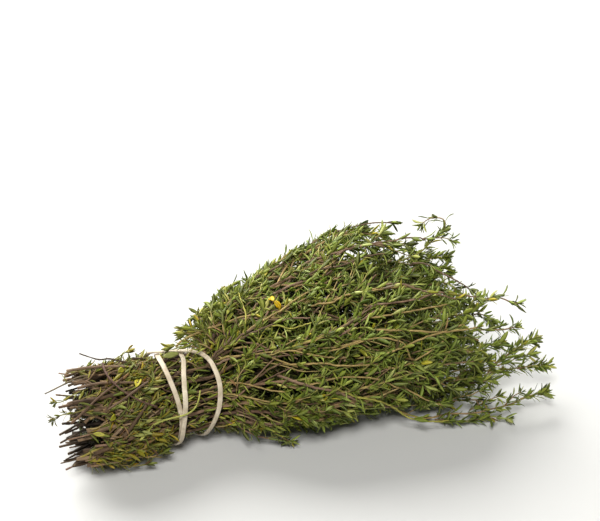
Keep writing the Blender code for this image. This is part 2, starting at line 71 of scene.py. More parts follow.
CUT_END = (-57.2, -49.5)        # where the stems are cut
CUT_SLANT = 0.26                # how much further back they are cut at the front
CUT_SPLAY = 4.0                 # how far they wander apart there
TIP_BACK, TIP_FRONT = 97.0, 122.5
TOP_SHORTER = 24.0              # how much shorter the sprigs on top at the front are
LOW_SHORTER = 17.0              # and how much shorter those lowest at the front are
TIP_SPREAD = 9.0

# Sprigs that reach past the rest: place in the neck, then the way to the tip as X, Y, Z.
REACHING = (
    (0.25, 0.92, ((96.0, 20.0, 48.5), (103.0, 20.0, 49.5), (111.0, 21.5, 51.0), (116.0, 23.5, 53.0), (120.0, 25.0, 54.5), (123.0, 26.0, 56.5))),
    (-0.20, 0.45, ((104.0, -15.0, 32.5), (110.0, -13.5, 34.0), (116.5, -11.0, 35.5), (123.0, -8.0, 37.0), (128.0, -6.5, 39.0), (132.5, -6.0, 40.0), (137.0, -9.5, 40.0), (142.0, -13.0, 38.0))),
    (-0.50, 0.20, ((104.0, -15.5, 27.5), (115.0, -13.5, 29.0), (121.5, -13.5, 30.0), (127.5, -15.5, 31.0), (132.0, -17.0, 31.5), (139.0, -17.5, 32.0))),
    (-0.45, -0.15, ((96.0, -22.0, 14.0), (106.0, -23.0, 15.0), (115.5, -23.0, 16.0), (121.5, -23.0, 17.0), (127.0, -23.5, 18.0), (131.0, -23.0, 19.5), (135.0, -23.0, 22.0), (139.0, -23.0, 25.0), (145.5, -23.0, 26.5))),
    (-0.75, -0.10, ((96.0, -25.0, 11.0), (107.0, -24.0, 12.5), (119.0, -24.5, 13.0), (126.0, -24.5, 14.0), (131.0, -25.5, 15.0), (136.5, -27.0, 16.0), (142.0, -28.5, 17.0), (149.0, -31.5, 18.0))),
    (-0.90, -0.40, ((68.0, -21.5, 13.0), (77.0, -24.0, 10.0), (84.5, -28.5, 6.5), (92.0, -32.0, 5.0), (99.0, -33.0, 5.5), (105.0, -34.5, 6.0), (113.0, -36.5, 6.5), (119.5, -37.5, 7.5), (126.0, -38.5, 8.5), (131.5, -39.0, 9.5), (136.0, -39.5, 11.0), (144.0, -40.5, 12.0))),
)

STEM_RADIUS_CUT = (0.60, 1.05)  # corner radius of the square stem at its cut end
STEM_RADIUS_TIP = 0.42
LEAF_LENGTH = (4.8, 6.8)
LEAF_HALF_WIDTH = 0.95
LEAF_HALF_THICKNESS = 0.24
SHOOT_LENGTH = (13.0, 24.0)
CLEARANCE = 0.45                # between any two pieces
STEM_CHORD = 0.55               # how far a straight stretch may cut inside a stem's curve

BAND_WIDTH = 2.1
BAND_THICKNESS = 0.9
BAND_LAYER = 1.3                # step outwards where one turn lies on another
BAND_STATIONS = 108             # all the way round its three turns
BAND_GAP = 0.70                 # stem centres' envelope plus stem radius to the band


# ------------------------------------------------------------- shared layout
def through(knots, x):
    """Smooth curve through (position, value) knots, flat beyond both ends."""
    px = np.array([k[0] for k in knots], float)
    py = np.array([k[1] for k in knots], float)
    slope = np.gradient(py, px)
    x = np.clip(np.asarray(x, float), px[0], px[-1])
    j = np.clip(np.searchsorted(px, x, side="right") - 1, 0, len(px) - 2)
    h = px[j + 1] - px[j]
    t = (x - px[j]) / h
    return (
        (2 * t**3 - 3 * t**2 + 1) * py[j]
        + (t**3 - 2 * t**2 + t) * h * slope[j]
        + (-2 * t**3 + 3 * t**2) * py[j + 1]
        + (t**3 - t**2) * h * slope[j + 1]
    )


def neck_places(count):
    """Places in a unit disc, spread by a sunflower spiral and then pushed apart."""
    k = np.arange(count)
    r = np.sqrt((k + 0.5) / count)
    a = k * math.pi * (3.0 - math.sqrt(5.0))
    p = np.stack([r * np.cos(a), r * np.sin(a)], axis=1)
    room = math.sqrt(2.0 / math.sqrt(3.0) * math.pi / count)
    for _ in range(260):
        d = p[:, None, :] - p[None, :, :]
        n = np.linalg.norm(d, axis=2) + np.eye(count)
        push = np.clip(room - n, 0.0, None) / n * (1.0 - np.eye(count))
        p = p + 0.25 * (d * push[:, :, None]).sum(axis=1)
        n = np.linalg.norm(p, axis=1, keepdims=True)
        p = np.where(n > 1.0, p / np.maximum(n, 1e-9), p)
    return p


def layout():
    """Each sprig's stem as points every 5 mm of X, from its cut end to its tip."""
    places = neck_places(SPRIG_COUNT)
    step = 5.0
    planes = np.arange(-65.0, 180.0, step)
    back = through([(e[0], e[1]) for e in ENVELOPE], planes)
    front = through([(e[0], e[2]) for e in ENVELOPE], planes)
    low = through([(e[0], e[3]) for e in ENVELOPE], planes)
    high = through([(e[0], e[4]) for e in ENVELOPE], planes)
    rows = []
    spans = []
    yields = []
    free = list(range(SPRIG_COUNT))
    reach = {}
    for r in REACHING:
        i = min(free, key=lambda j: math.hypot(places[j][0] - r[0], places[j][1] - r[1]))
        free.remove(i)
        reach[i] = r
    for i, (ny, nz) in enumerate(places):
        rng = np.random.RandomState(SEED * 1000 + i)
        y = 0.5 * (back + front) + ny * 0.5 * (back - front)
        z = 0.5 * (high + low) + nz * 0.5 * (high - low)
        grow = np.clip((planes - 6.0) / 110.0, 0.0, 1.3)
        splay = np.clip((-planes - 18.0) / 40.0, 0.0, 1.1) ** 1.3
        loose = 0.45 + 4.2 * grow + 1.2 * splay
        for _ in range(2):
            length, turn = rng.uniform(70.0, 150.0), rng.uniform(0.0, 2.0 * math.pi)
            y = y + loose * 0.55 * np.sin(2 * math.pi * planes / length + turn)
            length, turn = rng.uniform(70.0, 150.0), rng.uniform(0.0, 2.0 * math.pi)
            z = z + loose * 0.45 * np.sin(2 * math.pi * planes / length + turn)
        y = y + splay * rng.uniform(-1.0, 1.0) * CUT_SPLAY
        z = z + splay * rng.uniform(-1.0, 1.0) * CUT_SPLAY
        cut = rng.uniform(*CUT_END) + CUT_SLANT * float(np.interp(-57.0, planes, y))
        side = 0.5 * (ny + 1.0)
        tip = TIP_FRONT + (TIP_BACK - TIP_FRONT) * side**2.5 + rng.uniform(-1.8, 0.6) * TIP_SPREAD
        tip = tip - TOP_SHORTER * float(np.clip((nz - 0.45) / 0.4, 0.0, 1.0) * np.clip((0.3 - ny) / 0.5, 0.0, 1.0))
        tip = tip - LOW_SHORTER * float(np.clip((-nz - 0.05) / 0.4, 0.0, 1.0) * np.clip((-0.1 - ny) / 0.5, 0.0, 1.0))
        free_of_push = np.ones(len(planes))
        if i in reach:
            way = reach[i][2]
            tip = way[-1][0]
            lead = np.clip((planes - way[0][0] + 34.0) / 34.0, 0.0, 1.0)
            lead = lead * lead * (3.0 - 2.0 * lead)
            y = y + lead * (through([(w[0], w[1]) for w in way], planes) - y)
            z = z + lead * (through([(w[0], w[2]) for w in way], planes) - z)
            free_of_push = 1.0 - lead
        rows.append(np.stack([y, z], axis=1))
        spans.append((cut, tip))
        yields.append(free_of_push)
    rows = np.array(rows)
    yields = np.array(yields)[:, :, None]
    inside = np.array([[c - step <= x <= t + step for x in planes] for c, t in spans])
    first = rows.copy()
    shift = np.zeros_like(rows)
    near = through([(-60.0, 4.1), (-18.0, 3.5), (7.0, 3.5), (40.0, 5.0), (100.0, 6.0)], planes)
    for _ in range(60):
        rows = first + shift
        d = rows[:, None, :, :] - rows[None, :, :, :]
        n = np.linalg.norm(d, axis=3) + 1e-6
        both = inside[:, None, :] & inside[None, :, :]
        push = np.where(both, np.clip(near[None, None, :] - n, 0.0, None), 0.0) / n
        push *= 1.0 - np.eye(SPRIG_COUNT)[:, :, None]
        shift = shift + 0.3 * yields * (d * push[..., None]).sum(axis=1)
        shift[:, 1:-1] = 0.5 * shift[:, 1:-1] + 0.25 * (shift[:, :-2] + shift[:, 2:])
        rows = first + shift
        rows[:, :, 1] = np.maximum(rows[:, :, 1], low[None, :] - 0.8)
        shift = rows - first
    rows = first + shift
    stems = []
    for i, (cut, tip) in enumerate(spans):
        xs = np.concatenate([[cut], planes[(planes > cut + 1.5) & (planes < tip - 1.5)], [tip]])
        y = np.interp(xs, planes, rows[i, :, 0])
        z = np.interp(xs, planes, rows[i, :, 1])
        stems.append(np.stack([xs, y, z], axis=1))
    return places, stems


def band_loop():
    """The rubber band's centre line and the strip's outward direction, evenly along its route.

    The route is told as (degrees from the top towards the front, X) over three turns.
    """
    knots = (
        (0, -14.1), (22, -13.8), (55, -12.7), (80, -12.2), (105, -12.4), (150, -12.4), (180, -12.2),
        (225, -11.2), (270, -9.4), (315, -6.6), (345, -4.7), (360, -5.2),
        (376, -6.9), (395, -8.5), (412, -9.7), (429, -10.8), (449, -12.0), (466, -12.4), (500, -12.9),
        (540, -13.3), (585, -14.2), (630, -15.9), (668, -16.6), (684, -14.9), (692, -11.6), (700, -6.2),
        (708, -0.6), (715, 2.9),
        (725, 4.7), (745, 5.9), (764, 6.1), (781, 5.2), (795, 4.1), (812, 2.2), (830, 0.4), (860, -1.0),
        (900, -2.0), (945, -4.2), (980, -7.6), (1010, -10.8), (1040, -13.0), (1062, -14.0), (1080, -14.1),
    )
    dense = 1080
    turn = np.arange(dense) * 1080.0 / dense
    wrapped = [(a - 1080.0, x) for a, x in knots[-5:-1]] + list(knots) + [(a + 1080.0, x) for a, x in knots[1:5]]
    x = through(wrapped, turn)
    hw = NECK_HALF_WIDTH + STEM_RADIUS_CUT[1] + BAND_GAP + 0.5 * BAND_THICKNESS
    hh = NECK_HALF_HEIGHT + STEM_RADIUS_CUT[1] + BAND_GAP + 0.5 * BAND_THICKNESS
    # Which stretch lies on which where two meet: a higher rank lies on a lower one.
    rank = np.where(turn < 400.0, 0, np.where(turn < 745.0, 2, 1))
    size = math.radians(1.0) * 0.5 * (hw + hh)
    raised = np.zeros(dense)
    for other in (360, 720):
        for near in range(-9, 10):
            j = (np.arange(dense) + other + near) % dense
            close = np.hypot(x - x[j], near * size) < BAND_WIDTH + 0.7
            raised = np.where(close & (rank > rank[j]), 1.0, raised)
    wide = raised.copy()
    for s in range(-9, 10):
        wide = np.maximum(wide, np.roll(raised, s))
    window = np.hanning(25)
    window /= window.sum()
    wide = sum(w * np.roll(wide, k - 12) for k, w in enumerate(window))
    wide = np.maximum(wide, raised)
    a = np.radians(turn)
    out = np.stack([np.zeros_like(a), -np.sin(a) / hw, np.cos(a) / hh], axis=1)
    out /= np.linalg.norm(out, axis=1, keepdims=True)
    route = np.stack([x, -np.sin(a) * hw, np.cos(a) * hh + NECK_CENTRE_Z], axis=1)
    route = route + out * (wide * BAND_LAYER)[:, None]
    closed = np.concatenate([route, route[:1]])
    cum = np.concatenate([[0.0], np.cumsum(np.linalg.norm(np.diff(closed, axis=0), axis=1))])
    even = np.arange(BAND_STATIONS) * cum[-1] / BAND_STATIONS
    centre = np.stack([np.interp(even, cum, closed[:, k]) for k in range(3)], axis=1)
    facing = np.concatenate([out, out[:1]])
    facing = np.stack([np.interp(even, cum, facing[:, k]) for k in range(3)], axis=1)
    facing /= np.linalg.norm(facing, axis=1, keepdims=True)
    return centre, facing


# ------------------------------------------------------------------ tools
GROW_SEED = 4200
VIEW_AZIMUTH, VIEW_ELEVATION = 19.0, 42.0
VIEW_DISTANCE = 1000.0
MM_PER_PIXEL = 0.42
NECK_PIXEL = (195.5, 391.0)


def unit(v):
    v = np.asarray(v, float)
    n = np.linalg.norm(v, axis=-1, keepdims=True)
    return v / np.maximum(n, 1e-9)


def smooth_path(points, step):
    """Evenly spaced points on a smooth curve through the given ones."""
    points = np.asarray(points, float)
    cum = np.concatenate([[0.0], np.cumsum(np.linalg.norm(np.diff(points, axis=0), axis=1))])
    count = max(3, int(round(cum[-1] / step)) + 1)
    s = np.linspace(0.0, cum[-1], count)
    return np.stack([through(list(zip(cum, points[:, k])), s) for k in range(3)], axis=1)


def arc(points):
    return np.concatenate([[0.0], np.cumsum(np.linalg.norm(np.diff(points, axis=0), axis=1))])


def frames(points, start=None):
    """Directions along a path, and a side that turns with it as little as possible."""
    ahead = unit(np.gradient(points, axis=0))
    side = np.zeros_like(ahead)
    ref = np.array([0.0, 0.0, 1.0]) if start is None else np.asarray(start, float)
    s = ref - ahead[0] * (ref @ ahead[0])
    if np.linalg.norm(s) < 1e-3:
        s = np.cross(ahead[0], [0.0, 1.0, 0.0])
    side[0] = unit(s)
    for k in range(1, len(points)):
        s = side[k - 1] - ahead[k] * (side[k - 1] @ ahead[k])
        side[k] = unit(s)
    return ahead, side, np.cross(ahead, side)


def sample(points, cum, values, s):
    return np.array([np.interp(s, cum, values[:, k]) for k in range(values.shape[1])])


# ------------------------------------------------------------------ leaf blade
# Rows along the blade: how far along, and how wide against the widest place.
LEAF_ROWS = ((0.08, 0.24), (0.22, 0.66), (0.42, 0.98), (0.62, 0.98), (0.82, 0.66), (0.95, 0.25))


def leaf_template():
    """One closed blade: two low lobes on top, a groove between them, a keel below.

    Returns the vertices as (along, across, height, tone) and the faces, quads as four
    and triangles as three corners.
    """
    section = ((-1.0, -0.20, 0.0), (-0.55, 0.06, 0.0), (0.0, -0.07, 0.0), (0.55, 0.06, 0.0), (1.0, -0.20, 0.0), (0.0, -0.34, 1.0))
    verts = [(0.0, 0.0, 0.0, 0.5)]
    for t, w in LEAF_ROWS:
        verts += [(t, x * w, z * (0.35 + 0.65 * w), under) for x, z, under in section]
    verts.append((1.0, 0.0, -0.10, 0.5))
    faces = []
    n = len(LEAF_ROWS)
    for m in range(6):
        faces.append((0, 1 + (m + 1) % 6, 1 + m))
    for r in range(n - 1):
        a, b = 1 + 6 * r, 1 + 6 * (r + 1)
        for m in range(6):
            faces.append((a + m, a + (m + 1) % 6, b + (m + 1) % 6, b + m))
    last = 1 + 6 * (n - 1)
    for m in range(6):
        faces.append((last + m, last + (m + 1) % 6, len(verts) - 1))
    return np.array(verts), faces


LEAF_VERTS, LEAF_FACES = leaf_template()


def inner_shade_and_age(points):
    """Painted shade, partly also age: leaves and bark deep inside the bunch are darkened as shade falls there, and
    older leaves there are darker too: 1 at the surface, less inside.
    """
    x = points[:, 0]
    back, front, low, high = (through([(e[0], e[k]) for e in ENVELOPE], x) for k in (1, 2, 3, 4))
    d = np.hypot((points[:, 1] - 0.5 * (back + front)) / (0.5 * (back - front)), (points[:, 2] - 0.5 * (high + low)) / (0.5 * (high - low)))
    t = np.clip((1.0 - d + 0.02) / 0.28, 0.0, 1.0)
    t = t * t * (3.0 - 2.0 * t) * np.interp(x, [-62.0, -50.0, 70.0, 118.0], [0.45, 1.0, 1.0, 0.0])
    return 1.0 - 0.84 * t


class Shape:
    """Collects the blades and stems of one piece, then makes its mesh."""

    def __init__(self):
        self.leaves = []
        self.tubes = []

    def leaf(self, base, axis, normal, length, width, curl, twist, fold, top, under):
        self.leaves.append((base, axis, normal, length, width, curl, twist, fold, top, under))

    def tube(self, points, radii, colours, sides, start=None, cut=False, tip_close=True):
        self.tubes.append((np.asarray(points), np.asarray(radii), np.asarray(colours), sides, start, cut, tip_close))

    def blade_points(self):
        """Vertices (leaves, blade, 3), colours (leaves, blade, 3) and blade coordinates."""
        rec = self.leaves
        base = np.array([r[0] for r in rec])
        axis = unit(np.array([r[1] for r in rec]))
        normal = np.array([r[2] for r in rec])
        normal = unit(normal - axis * (normal * axis).sum(1, keepdims=True))
        length, width, curl, twist, fold = (np.array([r[k] for r in rec])[:, None] for k in (3, 4, 5, 6, 7))
        top = np.array([r[8] for r in rec])
        under = np.array([r[9] for r in rec])
        t, x, z, low = (LEAF_VERTS[None, :, k] for k in range(4))
        bend = np.where(np.abs(curl) < 1e-3, 1e-3, curl)
        along = np.sin(bend * t) / bend * length
        drop = (1.0 - np.cos(bend * t)) / bend * length
        ca, sa = np.cos(bend * t)[..., None], np.sin(bend * t)[..., None]
        a, n = axis[:, None, :], normal[:, None, :]
        n2 = ca * n + sa * a
        side = np.cross(axis, normal)[:, None, :]
        roll = twist * t
        cr, sr = np.cos(roll)[..., None], np.sin(roll)[..., None]
        across = side * cr + n2 * sr
        height = n2 * cr - side * sr
        half = 0.5 * width
        lift = z * half + fold * np.abs(x) * half
        p = (base[:, None, :] + a * along[..., None] - n * drop[..., None]
             + across * (x * half)[..., None] + height * lift[..., None])
        edge = np.clip(np.abs(x) * 1.15 - 0.35, 0.0, 1.0)[..., None]
        mix = low[..., None]
        col = top[:, None, :] * (1.0 - mix) + under[:, None, :] * mix
        shade = 0.90 + 0.10 * (t[..., None] - 0.5) + 0.42 * edge
        col = col * shade
        grain = np.stack(np.broadcast_arrays(x * 0.9, t * length * 0.25, np.arange(len(rec))[:, None] * 3.7 + 0.0 * t), axis=-1)
        return p, col, grain

    def tube_points(self):
        out = []
        for points, radii, colours, sides, start, cut, tip_close in self.tubes:
            ahead, side, up = frames(points, start)
            a = np.arange(sides) * 2.0 * math.pi / sides
            rad = radii if radii.ndim == 2 else np.repeat(radii[:, None], sides, axis=1)
            ring = (points[:, None, :]
                    + side[:, None, :] * (np.cos(a)[None, :] * rad)[..., None]
                    + up[:, None, :] * (np.sin(a)[None, :] * rad)[..., None])
            if cut:
                # A slanting cut, a little ragged.
                slant = (ring[0] - points[0]) @ side[0]
                ring[0] = ring[0] + ahead[0] * (slant * cut)[:, None]
            s = arc(points)
            col = np.repeat(colours[:, None, :], sides, axis=1)
            r0 = max(float(rad[0].mean()), 0.3)
            grain = np.stack([
                np.repeat((np.cos(a) * r0)[None, :], len(points), 0),
                np.repeat((np.sin(a) * r0)[None, :], len(points), 0),
                np.repeat(s[:, None], sides, 1),
            ], axis=-1)
            out.append((ring, col, grain, ahead, points, tip_close))
        return out

    def build(self, name, materials, to_row, smooth_leaf=True):
        verts, cols, grains, faces, mats = [], [], [], [], []
        count = 0
        if self.leaves:
            p, col, grain = self.blade_points()
            n, v = p.shape[0], p.shape[1]
            verts.append(p.reshape(-1, 3))
            cols.append(col.reshape(-1, 3))
            grains.append(grain.reshape(-1, 3))
            base = (np.arange(n) * v)[:, None, None]
            for size in (3, 4):
                f = np.array([face for face in LEAF_FACES if len(face) == size])
                f = (f[None, :, :] + base).reshape(-1, size)
                faces.append(f)
                mats.append(np.zeros(len(f), int))
            count += n * v
        for ring, col, grain, ahead, points, tip_close in self.tube_points():
            m, sides = ring.shape[0], ring.shape[1]
            extra = np.array([points[0] - ahead[0] * 0.02, points[-1] + ahead[-1] * 0.25])
            verts.append(np.concatenate([ring.reshape(-1, 3), extra]))
            cut_colour = col[0, 0] * 0.6 + np.array([0.30, 0.22, 0.12]) * 0.5
            cols.append(np.concatenate([col.reshape(-1, 3), [cut_colour, col[-1, 0]]]))
            grains.append(np.concatenate([grain.reshape(-1, 3), [[0.0, 0.0, -3.0], grain[-1, 0]]]))
            k = np.arange(m - 1)[:, None] * sides
            j = np.arange(sides)[None, :]
            jn = (j + 1) % sides
            quads = np.stack([k + j, k + jn, k + sides + jn, k + sides + j], axis=-1).reshape(-1, 4) + count
            faces.append(quads)
            mats.append(np.ones(len(quads), int))
            a = np.arange(sides)
            foot = np.stack([np.full(sides, m * sides), (a + 1) % sides, a], axis=-1) + count
            head = np.stack([np.full(sides, m * sides + 1), (m - 1) * sides + a, (m - 1) * sides + (a + 1) % sides], axis=-1) + count
            faces += [foot, head]
            mats += [np.ones(sides, int), np.ones(sides, int)]
            count += m * sides + 2
        verts = np.concatenate(verts)
        # painted shade: colours darkened deep inside the bunch where the leaves shade each other (partly also older,
        # darker leaves)
        cols = np.clip(np.concatenate(cols) * inner_shade_and_age(verts)[:, None], 0.0, 1.0)
        verts = to_row(verts)
        # leaves that reach the surface bend flat above it instead of passing through
        z = verts[:, 2]
        verts[:, 2] = np.where(z < 0.0006, 0.0003 + 0.0003 * np.exp((np.minimum(z, 0.0006) - 0.0006) / 0.0003), z)
        grains = np.concatenate(grains)
        sizes = np.concatenate([np.full(len(f), f.shape[1]) for f in faces])
        loops = np.concatenate([f.reshape(-1) for f in faces])
        mats = np.concatenate(mats)
        mesh = bpy.data.meshes.new(name)
        mesh.vertices.add(len(verts))
        mesh.vertices.foreach_set("co", verts.astype(np.float32).reshape(-1))
        mesh.loops.add(len(loops))
        mesh.loops.foreach_set("vertex_index", loops.astype(np.int32))
        mesh.polygons.add(len(sizes))
        starts = np.concatenate([[0], np.cumsum(sizes)[:-1]])
        mesh.polygons.foreach_set("loop_start", starts.astype(np.int32))
        mesh.polygons.foreach_set("material_index", mats.astype(np.int32))
        mesh.polygons.foreach_set("use_smooth", np.ones(len(sizes), bool))
        skin = mesh.attributes.new("skin", "FLOAT_COLOR", "POINT")
        skin.data.foreach_set("color", np.concatenate([cols, np.ones((len(cols), 1))], axis=1).astype(np.float32).reshape(-1))
        grain = mesh.attributes.new("grain", "FLOAT_VECTOR", "POINT")
        grain.data.foreach_set("vector", grains.astype(np.float32).reshape(-1))
        mesh.update(calc_edges=True)
        mesh.validate()
        for m in materials:
            mesh.materials.append(m)
        ob = bpy.data.objects.new(name, mesh)
        bpy.context.scene.collection.objects.link(ob)
        return ob


# ------------------------------------------------------------------ colours, as linear albedo
GREENS = np.array([
    (0.024, 0.036, 0.004),
    (0.050, 0.078, 0.007),
    (0.092, 0.138, 0.010),
    (0.160, 0.222, 0.019),
    (0.250, 0.315, 0.046),
    (0.385, 0.436, 0.128),
])
YELLOW = np.array([(0.40, 0.33, 0.018), (0.31, 0.30, 0.022), (0.46, 0.37, 0.022), (0.26, 0.23, 0.022)])
DRY = np.array([(0.20, 0.125, 0.05), (0.10, 0.065, 0.03)])
UNDER_TINT = np.array((0.265, 0.300, 0.072))


def leaf_colours(rng, young, stale):
    """Top and underside colour of one leaf. young is 0 to 1, stale is the chance that it has turned."""
    r = rng.rand()
    if r < stale * 0.75:
        c = YELLOW[rng.randint(len(YELLOW))] * rng.uniform(0.7, 1.05)
        c = c * (1 - 0.35 * rng.rand()) + GREENS[3] * 0.35 * rng.rand()
        return c, c * 0.85 + UNDER_TINT * 0.12
    if r < stale:
        c = DRY[rng.randint(len(DRY))] * rng.uniform(0.7, 1.3)
        return c, c * 0.9
    k = np.clip(rng.normal(2.14 + 0.30 * young, 1.55), 0.0, 4.999)
    i = int(k)
    c = GREENS[i] * (1 - (k - i)) + GREENS[i + 1] * (k - i)
    c = c * rng.uniform(0.85, 1.15) * np.array((1.0 + rng.uniform(-0.08, 0.22), 1.0, 1.0 + rng.uniform(-0.15, 0.2)))
    return c, c * 0.52 + UNDER_TINT * rng.uniform(0.42, 0.6)


STEM_WOOD = np.array([(0.060, 0.036, 0.019), (0.105, 0.064, 0.034), (0.165, 0.104, 0.058), (0.270, 0.185, 0.110)])
STEM_PURPLE = np.array([(0.150, 0.086, 0.056), (0.235, 0.145, 0.092), (0.115, 0.068, 0.040)])
STEM_OCHRE = np.array([(0.330, 0.235, 0.085), (0.380, 0.285, 0.110), (0.270, 0.175, 0.085)])
STEM_GREEN = np.array([(0.270, 0.250, 0.062), (0.200, 0.195, 0.048), (0.230, 0.150, 0.080)])


def stem_colours(rng, t, shift):
    """Colour along a stem: woody, then purplish brown, then ochre, then green towards the tip."""
    stops = np.array([0.0, 0.30, 0.42, 0.58, 0.72, 0.90, 1.0]) + shift
    pick = lambda s: s[rng.randint(len(s))]
    cols = np.array([pick(STEM_WOOD), pick(STEM_WOOD), pick(STEM_PURPLE), pick(STEM_PURPLE) * 0.5 + pick(STEM_OCHRE) * 0.5,
                     pick(STEM_OCHRE), pick(STEM_GREEN), pick(STEM_GREEN)])
    return np.stack([np.interp(t, stops, cols[:, k]) for k in range(3)], axis=1)


# ------------------------------------------------------------------ growth
PLACES, STEMS = layout()
BAND_CENTRE, BAND_OUT = band_loop()
_closed = np.concatenate([BAND_CENTRE, BAND_CENTRE[:1]])
BAND_LINE = smooth_path(_closed, 0.8)


def clear_of_band(points, room=1.75):
    """True where none of the points is inside the band's strip."""
    points = np.asarray(points)
    if points[:, 0].max() < -21.0 or points[:, 0].min() > 11.0:
        return True
    d = np.linalg.norm(points[:, None, :] - BAND_LINE[None, :, :], axis=2)
    return d.min() > room


_planes = np.arange(-69.75, 180.0, 0.5)
OUTLINE = np.stack([through([(e[0], e[k]) for e in ENVELOPE], _planes) for k in (1, 2, 3, 4)], axis=1).tolist()


def reach_at(x):
    """Half width and half height of the bunch's bound part, just outside its stems."""
    back, front, low, high = OUTLINE[int(min(max(2.0 * (x + 70.0), 0.0), len(OUTLINE) - 1))]
    return 0.5 * (back + front), 0.5 * (high + low), 0.5 * (back - front) + 1.2, 0.5 * (high - low) + 1.2


def outside(p):
    """How far a point lies outside the bunch's outline in mm, and the way straight out of it there."""
    cy, cz, hy, hz = reach_at(p[0])
    v = np.array([0.0, p[1] - cy, p[2] - cz])
    far = math.sqrt(v @ v) + 1e-9
    q = math.hypot(v[1] / hy, v[2] / hz) + 1e-9
    return (1.0 - 1.0 / q) * far, v / far


def room_for(p, shoot):
    """How far outside the outline a leaf or a shoot may reach: little on top, more low at the front."""
    low = min(1.0, max(0.0, (12.0 - p[2]) / 12.0)) if p[1] < 0.0 else 0.0
    swell = max(0.0, 1.0 - abs(p[0] - 6.0) / 12.0) if p[1] > -4.0 else 0.0
    top = 1.0 if shoot else 2.6
    return top + 3.0 * low + 11.0 * swell + 0.10 * max(0.0, p[0] - 95.0)


def kept_near(points, slack=0.0):
    """Draws a shoot's points that stray from the bunch back towards its outline."""
    out = np.array(points, float)
    for k, p in enumerate(out):
        if -60.0 < p[0] < 118.0:
            far, way = outside(p)
            over = far - room_for(p, True) - slack
            if over > 0.0:
                out[k] = p - 0.9 * over * way
                out[k, 2] = max(out[k, 2], 1.4)
    return out


def held_in(points, slack=1.0):
    """Draws points that stick out of the bound part back to its surface."""
    out = np.array(points, float)
    for k, p in enumerate(out):
        if p[0] < 12.0:
            cy, cz, hy, hz = reach_at(p[0])
            d = math.hypot((p[1] - cy) / (hy * slack), (p[2] - cz) / (hz * slack))
            if d > 1.0:
                out[k, 1] = cy + (p[1] - cy) / d
                out[k, 2] = cz + (p[2] - cz) / d
    return out


def put_leaf(shape, rng, base, stem_dir, out, lean, length, width, young, stale, flow=None, comb=0.0, colour=None, band_room=1.5):
    """One leaf at an angle to its stem; its upper side faces the stem's tip."""
    axis = math.cos(lean) * stem_dir + math.sin(lean) * out
    if flow is not None and comb > 0.0:
        axis = axis + comb * flow
    axis = axis / max(1e-9, math.sqrt(axis @ axis)) + rng.normal(0.0, 0.10, 3)
    axis = axis / max(1e-9, math.sqrt(axis @ axis))
    normal = math.sin(lean) * stem_dir - math.cos(lean) * out + rng.normal(0.0, 0.25, 3)
    curl = rng.normal(0.40, 0.35)
    if -60.0 < base[0] < 118.0 and rng.rand() < 0.93:
        tip = base + axis * length
        far, way = outside(tip)
        over = far - max(room_for(tip, False), outside(base)[0] + 0.6)
        if over > 0.0:
            axis = axis * length - 0.95 * over * way
            axis = axis / max(1e-9, math.sqrt(axis @ axis))
    for _ in range(5):
        if base[2] + axis[2] * length > 0.7 and base[2] + axis[2] * 0.5 * length > 0.6:
            break
        axis = axis + np.array([0.0, 0.0, 0.35])
        axis = axis / math.sqrt(axis @ axis)
        curl = min(curl, 0.0)
    else:
        return False
    normal = normal - axis * (normal @ axis)
    if -24.0 < base[0] < 13.0:
        probe = base + np.outer(np.linspace(0.2, 1.0, 4), axis * length)
        if not clear_of_band(probe, band_room):
            return False
    top, under = leaf_colours(rng, young, stale) if colour is None else colour
    if base[0] < 40.0 and colour is None:
        olive = min(1.0, (40.0 - base[0]) / 55.0) * rng.uniform(0.15, 1.0)
        dim = 1.0 - 0.22 * min(1.0, max(0.0, (0.0 - base[0]) / 20.0))
        top = dim * top * (1.0 + olive * np.array([0.38, 0.02, 0.05]))
        under = dim * under * (1.0 + olive * np.array([0.15, -0.02, 0.0]))
    shape.leaf(base, axis, normal, length, width, curl, rng.normal(0.0, 0.40), rng.uniform(-0.20, 0.40), top, under)
    return True


def rosette(shape, rng, tip, direction, size, young, stale):
    """The leafy tip of a stem or shoot: small crowded pairs, the innermost still folded together."""
    side = unit(np.cross(direction, rng.normal(size=3)))
    up = np.cross(direction, side)
    turn = rng.uniform(0.0, math.pi)
    for level, (lean, part) in enumerate(((1.05, 1.0), (0.78, 0.92), (0.50, 0.72), (0.22, 0.48))):
        for flip in (0.0, math.pi):
            a = turn + level * 0.5 * math.pi + flip + rng.normal(0.0, 0.15)
            out = math.cos(a) * side + math.sin(a) * up
            length = size * part * rng.uniform(0.85, 1.12)
            base = tip - direction * (1.5 - 0.5 * level) * size / 5.0
            put_leaf(shape, rng, base, direction, out, 0.85 * lean + rng.normal(0.0, 0.10), length, length * rng.uniform(0.23, 0.31), min(1.0, young + 0.10 * level), stale)


def tuft(shape, rng, base, direction, out, size, young, stale, flow, comb):
    """A small cluster of young leaves in a leaf's axil."""
    for _ in range(rng.randint(3, 6)):
        d = unit(out + 0.8 * direction + rng.normal(0.0, 0.5, 3))
        o = unit(np.cross(np.cross(direction, d), direction) + 1e-6)
        length = size * rng.uniform(0.45, 0.9)
        put_leaf(shape, rng, base + rng.normal(0.0, 0.25, 3), direction, o, rng.uniform(0.25, 1.05), length, length * rng.uniform(0.18, 0.25), young, stale, flow, comb)


